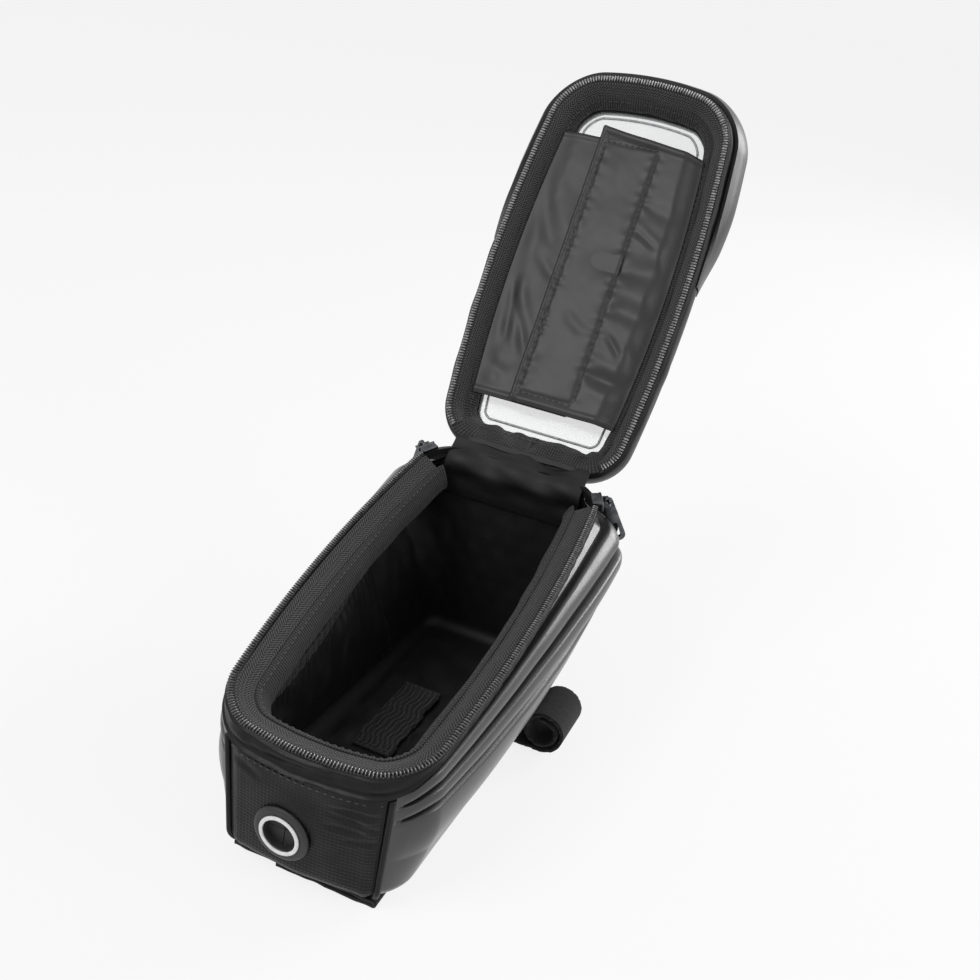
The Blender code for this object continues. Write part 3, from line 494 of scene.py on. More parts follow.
def speckle(tree, place, size, detail=4.0, roughness=0.55):
    # cloudy noise with features of this size in millimetres
    return addNode(tree, "TexNoise", {
        "Vector": place, "Scale": 1 / size, "Detail": detail, "Roughness": roughness,
    }).outputs["Fac"]


def pebbles(tree, place, size, feature):
    # grain of rounded cells of this size in millimetres
    cells = addNode(tree, "TexVoronoi", {"Vector": place, "Scale": 1 / size}, feature=feature)
    return cells.outputs["Distance"]


def product(tree, a, b):
    return addNode(tree, "Math", {0: a, 1: b}, operation="MULTIPLY").outputs[0]


def ranged(tree, value, low, high, start=0.0, end=1.0):
    # the value's range from low to high becomes start to end
    return addNode(tree, "MapRange", {
        "Value": value, "From Min": low, "From Max": high, "To Min": start, "To Max": end,
    }).outputs[0]


def weighed(tree, parts):
    # sum of heights, each times its weight
    total = 0.0
    for socket, weight in parts:
        total = addNode(tree, "Math", {0: socket, 1: weight, 2: total}, operation="MULTIPLY_ADD").outputs[0]
    return total


def mixed(tree, share, first, second):
    return addNode(tree, "Mix", {0: share, 6: first, 7: second}, data_type="RGBA").outputs[2]


def tint(tree, factor, dark, light, low=0.0, high=1.0):
    return mixed(tree, ranged(tree, factor, low, high), linear(dark), linear(light))


def relief(tree, shader, height, depth):
    # bump whose full height is this many millimetres
    bump = addNode(tree, "Bump", {"Height": height, "Strength": 1.0, "Distance": depth * millimetre})
    tree.links.new(bump.outputs[0], shader.inputs["Normal"])


def vary(tree, shader, factor, low, high):
    # roughness between two values
    tree.links.new(ranged(tree, factor, 0.0, 1.0, low, high), shader.inputs["Roughness"])


def makeCoatedCloth(name, dark, light, checkPitch=0.0):
    # polyurethane-coated polyester, calendered: a low sheen with a fine grain, paler on its high spots; the
    # embossed panel has a check of small raised squares that fades towards its top
    made, tree, shader = newMaterial(name, Specular_IOR_Level=0.17)
    place = objectPlace(tree)
    grain = pebbles(tree, place, 0.9, "DISTANCE_TO_EDGE")
    cloud = speckle(tree, place, 14)
    fine = speckle(tree, place, 0.8)
    parts = [(grain, 0.5), (fine, 0.5)]
    colour = weighed(tree, [(cloud, 0.7), (fine, 0.3)])
    if checkPitch:
        cloth = clothPlace(tree)
        check = weighed(tree, [(wave(tree, cloth.outputs[axis], checkPitch), 0.5) for axis in (0, 1)])
        height = addNode(tree, "SeparateXYZ", {"Vector": place}).outputs[2]
        shown = ranged(tree, height, 46, 22, 0.25)     # full below 22 mm, a quarter above 46 mm
        squares = product(tree, ranged(tree, check, -0.2, 0.5), shown)
        squares = product(tree, squares, ranged(tree, cloud, 0.35, 0.6, 0.3))
        parts.append((squares, 2.0))
        colour = weighed(tree, [(colour, 0.9), (squares, 0.22)])
    tree.links.new(tint(tree, colour, dark, light, 0.3, 0.75), shader.inputs["Base Color"])
    vary(tree, shader, fine, 0.30, 0.44)
    relief(tree, shader, weighed(tree, parts), 0.10)
    return made


def makeMouldedShell(name, dark, light, coat):
    # ethylene-vinyl foam moulded under a polyurethane film: soft gloss with a faint pebble grain, and
    # painted shade that turns the grooves nearly black
    made, tree, shader = newMaterial(name, Coat_Weight=coat, Coat_Roughness=0.28)
    place = objectPlace(tree)
    grain = pebbles(tree, place, 0.7, "SMOOTH_F1")
    cloud = speckle(tree, place, 22)
    fine = speckle(tree, place, 0.5)
    groove = addNode(tree, "Attribute", attribute_name="groove").outputs["Fac"]
    # painted shade: the colour goes to near black with the depth in a groove
    shade = mixed(tree, groove, tint(tree, cloud, dark, light, 0.3, 0.7), linear("#050505"))
    tree.links.new(shade, shader.inputs["Base Color"])
    vary(tree, shader, weighed(tree, [(cloud, 1.0), (groove, 0.6)]), 0.22, 0.5)
    relief(tree, shader, weighed(tree, [(grain, 0.7), (fine, 0.3)]), 0.05)
    return made


def makeTape(name, dark, light, pitch, ribbed):
    # woven polyester tape: grosgrain ribs across the tape, or a herringbone twill, in matt yarn with
    # pale flecks. The pattern is drawn coarser than a real tape's, which would be too fine to see
    made, tree, shader = newMaterial(name, Sheen_Weight=0.10, Sheen_Roughness=0.5, Specular_IOR_Level=0.3)
    place = clothPlace(tree)
    along, across = place.outputs[0], place.outputs[1]
    if ribbed:
        weave = wave(tree, along, pitch)
        yarn = wave(tree, across, pitch * 0.8)
    else:
        zigzag = addNode(tree, "Math", {0: across, 1: 3.2}, operation="PINGPONG").outputs[0]
        slant = addNode(tree, "Math", {0: along, 1: zigzag}, operation="ADD").outputs[0]
        weave = wave(tree, slant, pitch)
        yarn = wave(tree, across, pitch)
    fleck = speckle(tree, objectPlace(tree), 0.6, 2.0)
    height = weighed(tree, [(weave, 0.32), (yarn, 0.14), (fleck, 0.5)])
    tree.links.new(tint(tree, height, dark, light, 0.0, 0.6), shader.inputs["Base Color"])
    vary(tree, shader, fleck, 0.72, 0.92)
    relief(tree, shader, height, 0.35)
    return made


def makeLiningCloth():
    # nylon taffeta, plain woven and calendered: thin, nearly black, with a faint silky sheen on its folds
    made, tree, shader = newMaterial("nylonTaffeta", Sheen_Weight=0.05, Sheen_Roughness=0.35,
                                     Specular_IOR_Level=0.3)
    check = crossed(tree, clothPlace(tree), 0.6)
    fleck = speckle(tree, objectPlace(tree), 1.2)
    height = weighed(tree, [(check, 0.3), (fleck, 0.5)])
    tree.links.new(tint(tree, height, "#09090A", "#151516", 0.0, 0.6), shader.inputs["Base Color"])
    vary(tree, shader, fleck, 0.50, 0.66)
    relief(tree, shader, height, 0.08)
    return made


def makeSatinCloth():
    # polyurethane-coated satin: a smooth dark grey with a broad soft shine and a weave too fine to see,
    # drawn at 0.5 mm so that it still breaks the highlight
    made, tree, shader = newMaterial("coatedSatin", Sheen_Weight=0.05, Sheen_Roughness=0.3,
                                     Specular_IOR_Level=0.42)
    check = crossed(tree, clothPlace(tree), 0.5)
    place = objectPlace(tree)
    cloud = speckle(tree, place, 18)
    fleck = speckle(tree, place, 0.8)
    mottle = weighed(tree, [(cloud, 0.7), (fleck, 0.3)])
    tree.links.new(tint(tree, mottle, "#1F1F20", "#2B2B2C", 0.35, 0.65), shader.inputs["Base Color"])
    vary(tree, shader, cloud, 0.38, 0.50)
    relief(tree, shader, weighed(tree, [(check, 0.3), (fleck, 0.4)]), 0.06)
    return made


def makeMottled(name, colours, cloud, fine, rough, depth, span=(0.3, 0.7), **sockets):
    # a finish in two colours: one noise mixes them, another sets the roughness and the relief.
    # Each noise is a size in millimetres, with detail and roughness where they aren't the usual ones
    made, tree, shader = newMaterial(name, **sockets)
    place = objectPlace(tree)
    tree.links.new(tint(tree, speckle(tree, place, *cloud), *colours, *span), shader.inputs["Base Color"])
    grain = speckle(tree, place, *fine)
    vary(tree, shader, grain, *rough)
    if depth:
        relief(tree, shader, grain, depth)
    return made


def makeLoopTape():
    # brushed nylon loop tape: a dead matt pile that catches light only at grazing angles
    made, tree, shader = newMaterial("brushedLoopPile", Sheen_Weight=0.10, Sheen_Roughness=0.6,
                                     Specular_IOR_Level=0.2)
    place = objectPlace(tree)
    pile = speckle(tree, place, 0.7, 6.0, 0.75)
    tuft = speckle(tree, place, 2.6, 3.0)
    height = weighed(tree, [(pile, 0.7), (tuft, 0.4)])
    tree.links.new(tint(tree, height, "#0B0B0C", "#262627", 0.3, 0.8), shader.inputs["Base Color"])
    vary(tree, shader, pile, 0.85, 1.0)
    relief(tree, shader, height, 0.5)
    return made


def makeClearFilm():
    # clear thermoplastic polyurethane film, cast: nearly invisible but for its gloss, slightly cloudy
    made, tree, shader = newMaterial("castUrethaneFilm", Base_Color=linear("#EEF0F1"), IOR=1.5, Alpha=0.2)
    haze = speckle(tree, objectPlace(tree), 14.0, 0.0)
    vary(tree, shader, haze, 0.06, 0.18)
    relief(tree, shader, haze, 0.02)
    return made


coilNylon = {
    "cloud": (1.5, 2.0), "fine": (1.5, 2.0), "rough": (0.16, 0.3), "depth": 0.03, "span": (0.35, 0.7),
    "Coat_Weight": 0.6, "Coat_Roughness": 0.12,
}

# each finish with the material slot it fills
finishes = {
    "coated": (makeCoatedCloth("coatedPolyester", "#0E0E0F", "#1B1B1C"), "coated_cloth"),
    "embossed": (makeCoatedCloth("embossedPolyester", "#0C0C0D", "#212122", checkPitch=1.6), "coated_cloth"),
    "shell": (makeMouldedShell("mouldedFoamFilm", "#1A1A1B", "#262627", 0.5), "moulded_foam"),
    "hoodShell": (makeMouldedShell("mouldedHoodFilm", "#1A1A1B", "#242425", 0.0), "moulded_foam"),
    "herringbone": (makeTape("herringboneTape", "#101011", "#4E4E4F", 1.4, False), "woven_tape"),
    "grosgrain": (makeTape("grosgrainTape", "#111112", "#3C3C3D", 1.2, True), "woven_tape"),
    "lining": (makeLiningCloth(), "lining_cloth"),
    "satin": (makeSatinCloth(), "satin_panel"),
    # bonded polyester thread, twisted: black with a small glint on each stitch
    "thread": (makeMottled("bondedThread", ("#161617", "#2B2B2C"), (0.3, 2.0), (0.3, 2.0), (0.4, 0.6), 0.1,
                           Sheen_Weight=0.2), "woven_tape"),
    # nylon 6.6 monofilament wound into a coil: glossy, so each turn carries one bright glint
    "coil": (makeMottled("nylonMonofilament", ("#262627", "#5E5E60"), **coilNylon), "nylon_coil"),
    # the same monofilament on the lid in a paler copy, its lighter colour painted highlight for the teeth's
    # glints
    "glintPaintedCoil": (makeMottled("glintPaintedMonofilament", ("#5A5A5C", "#B4B4B6"), **coilNylon), "nylon_coil"),
    # die-cast zinc with a black nickel plate, tumbled: dark mirror rubbed duller on its flats
    "zinc": (makeMottled("blackNickelZinc", ("#3E3F42", "#66676A"), (3.0,), (0.35, 6.0, 0.7), (0.2, 0.42),
                         0.01, Metallic=1.0), "gunmetal"),
    # moulded silicone rubber: matt black with a slightly dusty bloom
    "rubber": (makeMottled("mouldedSilicone", ("#141415", "#222223"), (6.0,), (0.3,), (0.48, 0.64), 0.03,
                           Sheen_Weight=0.1), "rubber"),
    # polycarbonate ring, moulded and painted silver-white: satin, faintly mottled
    "silver": (makeMottled("paintedPolycarbonate", ("#D5D5D6", "#F0F0F0"), (1.5,), (1.5,), (0.3, 0.42), 0.01,
                           Coat_Weight=0.3, Coat_Roughness=0.2), "light_ring"),
    "pile": (makeLoopTape(), "hook_and_loop"),
    "film": (makeClearFilm(), "clear_sheet"),
    # the film's urethane, fused and pressed by the welding bar: cloudy grey and satin
    "weld": (makeMottled("fusedUrethaneBead", ("#808284", "#B4B6B8"), (2.0,), (2.0,), (0.25, 0.4), 0.05,
                         Coat_Weight=0.3), "clear_sheet"),
    # recycled polypropylene stiffener board, extruded: dull grey-brown with faint streaks
    "board": (makeMottled("stiffenerBoard", ("#6F675B", "#84796B"), (5.0,), (5.0,), (0.7, 0.85), 0.0),
              "board"),
}
print("finishes made")

# side shells: a full belly and two long ribs above it, with sewn grooves between that fan out to the rear
sideShell = {
    "columns": 230,
    "turnRows": 8,
    "rows": 126,
    "groove": 0.0034,
    "crown": 0.0010,
    "swell": 0.00005,
    # edges of the belly, the lower rib and the upper rib at the front and rear, as shares of the height
    "edges": ((0.715, 0.680), (0.750, 0.725), (0.855, 0.832), (0.880, 0.868), (0.985, 0.955)),
    "marks": (0.50, 0.585, 0.715, 0.80, 0.94),   # where those edges lie in the grid's rows
    "slope": 0.019,
}


def shellRows(q):
    # rows follow the edges: each height is a weighted mean of the two edges next to it
    spec = sideShell
    height = rimHeight(q)
    along = smooth((np.abs(q) - form["frontSeam"] - form["seamRoom"]) / 1.6)
    top = 1 - (bandDepth(q) + form["bandGap"]) / height
    foot = form["baseTurn"] / height
    edges = [foot] + [top * (front + (rear - front) * along) for front, rear in spec["edges"]] + [top]
    t = np.linspace(0, 1, spec["rows"])
    marks = (0.0, *spec["marks"], 1.0)
    weights = np.stack([np.interp(t, marks, unit) for unit in np.eye(len(marks))], axis=1)
    body = atHeight(q, weights @ np.stack(edges) * height)
    turn = np.linspace(0, form["turnShare"], spec["turnRows"], endpoint=False)[:, None] + 0 * q
    return np.concatenate([turn, body]), np.concatenate([np.zeros(spec["turnRows"]), t])[:, None]


def shellRelief(q, t):
    # how far each point stands out, and how deep in a groove it lies from 0 to 1
    spec = sideShell
    marks = spec["marks"]
    step = [smooth((t - mark) / (2 * spec["slope"]) + 0.5) for mark in marks]
    groove = step[0] - step[1] + step[2] - step[3] + step[4]
    crown = 0 * t
    for low, high in ((0.22, marks[0]), (marks[1], marks[2]), (marks[3], marks[4])):
        crown = crown + np.clip(1 - ((2 * t - low - high) / (high - low)) ** 2, 0, 1)
    p = np.abs(q)
    calm = smooth((p - form["frontSeam"] - 0.06) / 0.22) * smooth((form["rearSeam"] - 0.08 - p) / 0.22)
    return (spec["crown"] * crown - spec["groove"] * groove) * calm, groove * calm


def makeSideShell(side, word):
    q = stations(form["frontSeam"] + form["seamRoom"], form["rearSeam"] - form["seamRoom"],
                 sideShell["columns"])
    q = q if side > 0 else -q[::-1]
    v, t = shellRows(q)
    points = wall(q, v)
    run = pathLength(points, 1)[None, :]
    swell = sideShell["swell"] * undulation(run + side, points[..., 2], 0.030, 11)
    height, groove = shellRelief(q, t)
    outer = skin(q, v, -height - swell)
    inner = skin(q, v, form["wall"] + 0 * v)
    mesh = gridMesh("sideShell", outer, inner)
    # how deep each point lies in a groove, for the painted shade and the roughness in the finish
    depth = mesh.attributes.new("groove", "FLOAT", "POINT")
    depth.data.foreach_set("value", np.concatenate([groove.ravel(), 0 * groove.ravel()]).astype(np.float32))
    made = addPiece("sideShell." + word, mesh, "shell", "bag", ["side_panel_" + word])


makeSideShell(1, "right")
makeSideShell(-1, "left")
print("side shells made")

# end panels: foam-backed coated cloth, slack near the seams
frontPanel = {
    "portX": -0.0062,
    "portZ": 0.0205,
    "hole": 0.0101,
    "columns": 190,
    "bodyRows": 84,
    "folds": ((22, 42, 5, 20, 1.0, 0.55), (24, 37, -8, 24, 1.2, 0.6), (19, 33, 4, 16, 1.1, 0.45),
              (26, 29, 12, 14, 1.0, 0.4), (-24, 44, -20, 14, 1.6, 0.3)),
}


def makeEndPanel(name, q, spec, finish, node, seed):
    v = wallRows(q, bandDepth(q) + form["bandGap"], 8, spec["bodyRows"])
    points = wall(q, v)
    run = pathLength(points, 1)
    u = (run - run[-1] / 2)[None, :]
    z = points[..., 2]
    edge = np.minimum(u - u.min(), u.max() - u)
    slack = creases(u, z, spec["folds"]) + 0.0002 * undulation(u, z, 0.022, seed)
    slack = slack * smooth(edge / 0.004) + 0.0006 * np.exp(-((edge - 0.004) / 0.003) ** 2)
    outer = skin(q, v, -slack)
    inner = skin(q, v, form["wall"] + 0 * v)
    made = addGrid(name, finish, "bag", [node], outer, inner)
    return made


def portFrame():
    # the cable port's middle on the front panel, and its directions across, up and out
    q = np.array([frontPanel["portX"] / (rim["half"] - rim["frontCorner"])])
    v = atHeight(q, frontPanel["portZ"])
    point = wall(q, v)[0]
    across = (wall(q + 0.01, v) - wall(q - 0.01, v))[0]
    across /= np.linalg.norm(across)
    out = np.cross(across, (wall(q, v + 0.01) - wall(q, v - 0.01))[0])
    out /= np.linalg.norm(out)
    return point, across, np.cross(out, across), out


def cutHole(piece, radius):
    # a round hole for the cable port, cut once and applied
    point, across, up, out = portFrame()
    mesh = bpy.data.meshes.new("holeCutter")
    index = np.arange(64)
    angle = index * 2 * math.pi / len(index)
    ring = radius * (np.cos(angle)[:, None] * across + np.sin(angle)[:, None] * up)
    reach = 0.02 * out
    ends = np.concatenate([point + ring - reach, point + ring + reach])
    after, far = np.roll(index, -1), index + len(index)
    sides = np.stack([index, after, after + len(index), far], axis=-1)
    mesh.from_pydata(ends.tolist(), [], sides.tolist() + [index[::-1].tolist(), far.tolist()])
    cutter = bpy.data.objects.new("holeCutter", mesh)
    bpy.context.scene.collection.objects.link(cutter)
    step = piece.modifiers.new("port", "BOOLEAN")
    step.object = cutter
    step.operation = "DIFFERENCE"
    step.solver = "EXACT"
    bpy.context.view_layer.update()
    graph = bpy.context.evaluated_depsgraph_get()
    cut = bpy.data.meshes.new_from_object(piece.evaluated_get(graph), depsgraph=graph)
    piece.modifiers.clear()
    piece.data = cut
    bpy.data.objects.remove(cutter, do_unlink=True)


seamRoom = 0.055
q = stations(-form["frontSeam"] + seamRoom, form["frontSeam"] - seamRoom, frontPanel["columns"])
panel = makeEndPanel("frontPanel", q, frontPanel, "embossed", "cable_end_panel", 21)
cutHole(panel, frontPanel["hole"])

rearPanel = {
    "bodyRows": 90,
    "folds": ((-10, 30, 8, 26, 1.4, 0.4), (16, 52, -10, 22, 1.6, 0.4), (-22, 66, 20, 16, 1.4, 0.4)),
}
half = stations(form["rearSeam"] + seamRoom, 5, 70)
q = np.concatenate([half, -half[-2::-1]])
makeEndPanel("rearPanel", q, rearPanel, "coated", "hinge_end_panel", 22)


# rim band: a turned-over strip of coated cloth round the mouth, puffed at its lower hem
rimBand = {"columns": 560, "rows": 26, "top": 0.0026, "hem": 0.0017, "hemWidth": 0.0008, "puff": 0.0003}


def makeRimBand():
    q = ringStations(rimBand["columns"])
    share = np.linspace(0, 1, rimBand["rows"])[:, None]
    low = bandDepth(q)
    depth = low + (rimBand["top"] - low) * share
    v = belowRim(q, depth)
    points = wall(q, v, bulged=False)
    run = pathLength(points, 1)[None, :]
    front = smooth((2.0 - np.abs(q)) / 0.8)
    hem = rimBand["hem"] * np.exp(-((low - depth) / rimBand["hemWidth"] - 0.6) ** 2) * (0.35 + 0.65 * front)
    puff = rimBand["puff"] * np.sin(math.pi * share) * (0.3 + 0.7 * front)
    slack = 0.0003 * front * undulation(run, 4 * depth, 0.026, 31)
    slack = slack + 0.0001 * undulation(run, depth, 0.008, 32)
    roll = -0.0012 * smooth((share - 0.86) / 0.14)
    outer = skin(q, v, -(hem + puff + slack + roll), bulged=False)
    inner = skin(q, v, form["wall"] + 0 * v, bulged=False)
    made = addGrid("rimBand", "coated", "bag", ["rim_band"], outer, inner, closed=True)


makeRimBand()


def wallLine(q, depth, proud, bulged):
    v = belowRim(q, depth)
    return skin(q, v, -proud, bulged), wallNormal(q, v, bulged)


def makeWallStitches():
    q = stations(-form["frontSeam"] + 0.07, form["frontSeam"] - 0.07, 200)
    lines = [wallLine(q, bandDepth(q) + 0.0028, 0.0002, True)]
    half = stations(form["rearSeam"] + 0.07, 5, 80)
    q = np.concatenate([half, -half[-2::-1]])
    lines.append(wallLine(q, bandDepth(q) + 0.0026, 0.0002, True))
    sewLines("wallStitches", lines, "bag")


makeWallStitches()


# piping: a cord wrapped in coated cloth down each upright seam
piping = {"radius": 0.0013, "proud": 0.0006, "foot": 0.35, "sides": 14, "rows": 60}


def tubeMesh(name, path, radius, sides, firstAxis):
    # a ring of points carried along a path, its ends drawn in to a point
    tangent = np.gradient(path, axis=0)
    tangent /= np.linalg.norm(tangent, axis=-1, keepdims=True)
    a = firstAxis - tangent * np.sum(firstAxis * tangent, axis=-1, keepdims=True)
    a /= np.linalg.norm(a, axis=-1, keepdims=True)
    b = np.cross(tangent, a)
    path = np.concatenate([path[:1], path[:1], path, path[-1:], path[-1:]])
    a, b = [np.concatenate([d[:1], d[:1], d, d[-1:], d[-1:]]) for d in (a, b)]
    tangent = np.concatenate([tangent[:1], tangent[:1], tangent, tangent[-1:], tangent[-1:]])
    size = np.full(len(path), radius)
    size[[0, -1]] = 0.0
    size[[1, -2]] = radius * 0.7
    shift = np.zeros(len(path))
    shift[0], shift[1], shift[-2], shift[-1] = -0.5 * radius, -0.35 * radius, 0.35 * radius, 0.5 * radius
    angle = np.arange(sides) * 2 * math.pi / sides
    ring = np.cos(angle)[None, :, None] * a[:, None] + np.sin(angle)[None, :, None] * b[:, None]
    points = path[:, None] + ring * size[:, None, None] + tangent[:, None] * shift[:, None, None]
    return gridMesh(name, points, closed=True, weld=True)


def makePiping():
    for side, word in ((1, "right"), (-1, "left")):
        for seam, end in ((form["frontSeam"], "front"), (form["rearSeam"], "rear")):
            q = np.full(piping["rows"], side * seam)
            top = belowRim(q, bandDepth(q) + piping["radius"])[0]
            v = np.linspace(form["turnShare"] * piping["foot"], top, piping["rows"])
            path = skin(q, v, -piping["proud"])
            mesh = tubeMesh("piping", path, piping["radius"], piping["sides"], wallNormal(q, v))
            addPiece(f"piping.{end}.{word}", mesh, "coated", "bag", [f"piping_{end}_{word}"])


makePiping()


# base: coated cloth under a stiffener board, with a row of stitches round its edge
def baseRing(inset, z, count=240):
    q = ringStations(count)
    x, y = outline(q, base)
    nx, ny = planNormal(q, base)
    return np.stack([x - nx * inset, y - ny * inset, z + 0 * x], axis=-1)


def makeBase():
    # rounded edge first, then rings that shrink to the middle
    edges = ((0.0004, 0.0021), (0.0004, 0.0008), (0.0007, 0.0002), (0.0013, 0.0))
    rows = [baseRing(form["baseTurn"] + inset, z) for inset, z in edges]
    rows += [rows[-1] * [share, share, 1] for share in np.linspace(0.92, 0.0, 16)]
    under = np.stack(rows)[::-1]
    run = np.linalg.norm(under[..., :2], axis=-1)
    rumple = undulation(under[..., 0], under[..., 1], 0.012, 41) + 1.5
    under[..., 2] += 0.00012 * rumple * smooth(run / 0.02)
    top = under.copy()
    top[..., 2] = 0.0022
    made = addGrid("basePanel", "coated", "bag", ["base_panel"], under, top, closed=True, weld=True)
    merge(made.data, outward=True)
    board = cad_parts["base_board"].data
    board.materials.clear()
    board.materials.append(finishes["board"][0])
    path = baseRing(form["baseTurn"] + 0.0030, -0.0001)
    path = np.concatenate([path, path[:1]])
    down = np.tile([0.0, 0.0, -1.0], (len(path), 1))
    sewLines("baseStitches", [(path, down)], "bag")


makeBase()
print("walls and base made")

# floor elastic: a ribbed band on the lining's floor
floorElastic = {"x": -0.008, "y": 0.003, "length": 0.052, "width": 0.018, "ribs": 0.0016}

# lining: one loose bag of taffeta, its walls in shallow upright folds and its floor rumpled
lining = {
    "columns": 260, "wallRows": 46, "floorRows": 22, "inset": 0.0040, "foldDepth": 0.0007, "top": 0.0152,
    "cornerInset": 0.0095, "rumple": 0.0011, "hole": 0.0098,
}


def makeLining():
    q = ringStations(lining["columns"])
    rise = np.linspace(0, 1, lining["wallRows"])[:, None]
    low = atHeight(q, form["floor"] + 0.006)
    v = low + (belowRim(q, lining["top"]) - low) * rise
    straight = skin(q, v, lining["inset"] + 0 * v)
    run = pathLength(straight, 1)[None, :]
    z = straight[..., 2]
    fold = undulation(run, 0.25 * z, 0.017, 51) + 0.5 * undulation(run, z, 0.009, 52)
    loose = smooth(rise / 0.1) * smooth((1 - rise) / 0.12)
    depth = lining["inset"] + 0.0004 + lining["foldDepth"] * (0.5 + 0.5 * fold) * loose
    walls = skin(q, v, depth)
    x, y = outline(q, base)
    nx, ny = planNormal(q, base)
    foot = walls[0]
    level = form["floor"] + 0.0006
    corner = joined(x - nx * lining["cornerInset"], y - ny * lining["cornerInset"], level)
    rows = []
    for t in np.linspace(0.15, 1, 6):
        turn = t * math.pi / 2
        inwards = foot + (corner - foot) * (1 - math.cos(turn))
        inwards[:, 2] = foot[:, 2] + (corner[:, 2] - foot[:, 2]) * math.sin(turn)
        rows.append(inwards)
    edge = rows[-1]
    centre = np.array([0.0, 0.0, level])
    for share in np.linspace(0.95, 0, lining["floorRows"]):
        ring = centre + (edge - centre) * share
        rumple = lining["rumple"] * (0.5 + 0.5 * undulation(ring[:, 0], ring[:, 1], 0.016, 53))
        rumple *= smooth((1 - share) / 0.1)
        # flat where the floor elastic lies
        offX, offY = np.abs(ring[:, 0] - floorElastic["x"]), np.abs(ring[:, 1] - floorElastic["y"])
        calm = 1 - smooth((0.034 - offY) / 0.006) * smooth((0.014 - offX) / 0.005)
        ring[:, 2] += rumple * calm * smooth(share / 0.1)
        rows.append(ring)
    points = np.concatenate([np.stack(rows)[::-1], walls])
    made = addGrid("liningCloth", "lining", "bag", ["lining"], points[:, ::-1], closed=True, weld=True)
    thicken(made, 0.0005)
    cutHole(made, lining["hole"])
    return made


liningPiece = makeLining()


# zip on the bag: the tape turns over the rim and hangs inside, with a coil of teeth on its edge
zipBag = {
    "teeth": 1.35 * millimetre, "tooth": (0.0027, 0.00095, 0.0015), "toothInset": 0.0016,
    "toothLevel": 0.0014, "tape": 0.0006, "columns": 520,
}


def tapeMesh(name, q, profile, place, waviness, seed):
    # a strip whose profile is given as inset and level, with a little slack
    inset, level = np.array(profile).T
    points = rimPoint(q[None, :], inset[:, None], level[:, None])
    run = pathLength(points, 1)[None, :]
    depth = np.linspace(0, 1, len(profile))[:, None]
    slack = waviness * undulation(run, 0.01 * depth, 0.02, seed) * smooth(depth / 0.4)
    nx, ny = planNormal(q, rim)
    points[..., 0] -= nx * np.maximum(slack, -0.0002)
    points[..., 1] -= ny * np.maximum(slack, -0.0002)
    return gridMesh(name, place(points))


def interpolated(corners, count):
    # a profile through a few corners, evenly spaced and slightly rounded
    corners = np.array(corners)
    run = runAlong(corners)
    line = between(np.linspace(0, run[-1], count), run, corners)
    for _ in range(3):
        line[1:-1] = (line[:-2] + 2 * line[1:-1] + line[2:]) / 4
    return line


def toothMesh(name, q, inset, level, place):
    # teeth lie across the tape, one each pitch, their heads at the outer edge
    path = place(rimPoint(q, inset, level))
    inwards = place(rimPoint(q, inset + 0.001, level)) - path
    up = place(rimPoint(q, inset, level + 0.001)) - path
    places, _, _, out = spaced(path, up, zipBag["teeth"])
    run = runAlong(path)
    at = (np.arange(len(places)) + 0.5) * run[-1] / len(places)
    inwards = between(at, run, inwards)
    inwards /= np.linalg.norm(inwards, axis=-1, keepdims=True)
    length, width, height = zipBag["tooth"]
    shape = bar(length, width, height, sides=8)
    return repeatedMesh(name, shape, places, inwards, np.cross(out, inwards), out)


def makeBagZip():
    q = stations(-form["zipEnd"], form["zipEnd"], zipBag["columns"])
    profile = interpolated([(0.0006, -0.0024), (0.0034, -0.0025), (0.0050, -0.0031), (0.0114, -0.0066)], 24)
    mesh = tapeMesh("zipTape", q, profile, toBag, 0.0002, 61)
    tape = addPiece("zipTape.bag", mesh, "herringbone", "bag", ["zip_tape_body"])
    thicken(tape, zipBag["tape"])
    mesh = toothMesh("zipTeeth", q, zipBag["toothInset"], -zipBag["toothLevel"], toBag)
    addPiece("zipTeeth.bag", mesh, "coil", "bag", ["zip_chain_body"])
    q = stations(-form["zipEnd"] - 0.25, form["zipEnd"] + 0.25, 460)
    profile = interpolated([(0.0110, -0.0056), (0.0124, -0.0062), (0.0152, -0.0106), (0.0156, -0.0150),
                            (0.0142, -0.0172), (0.0122, -0.0172)], 26)
    mesh = tapeMesh("binding", q, profile, toBag, 0.0003, 62)
    binding = addPiece("binding.bag", mesh, "grosgrain", "bag", ["binding_body"])
    thicken(binding, 0.0006)
    q = stations(-form["zipEnd"], form["zipEnd"], 400)
    line = toBag(rimPoint(q, 0.0129, -0.0064))
    inward = toBag(rimPoint(q, 0.0137, -0.0058)) - line
    sewLines("bindingStitches.bag", [(line, inward)], "bag")


makeBagZip()
print("lining and zip made")

# slip pocket on the left wall, with an elastic top edge that gathers it
slipPocket = {
    "from": 2.12, "to": 2.80, "depth": 0.038, "room": 0.0085, "face": 0.0054, "gather": 0.0052,
    "columns": 130, "rows": 44,
}


def pocketRoom(q, height):
    along = (np.abs(q) - slipPocket["from"]) / (slipPocket["to"] - slipPocket["from"])
    return slipPocket["room"] * np.sin(math.pi * np.clip(along, 0, 1)) ** 0.6 * smooth(height * 1.15)


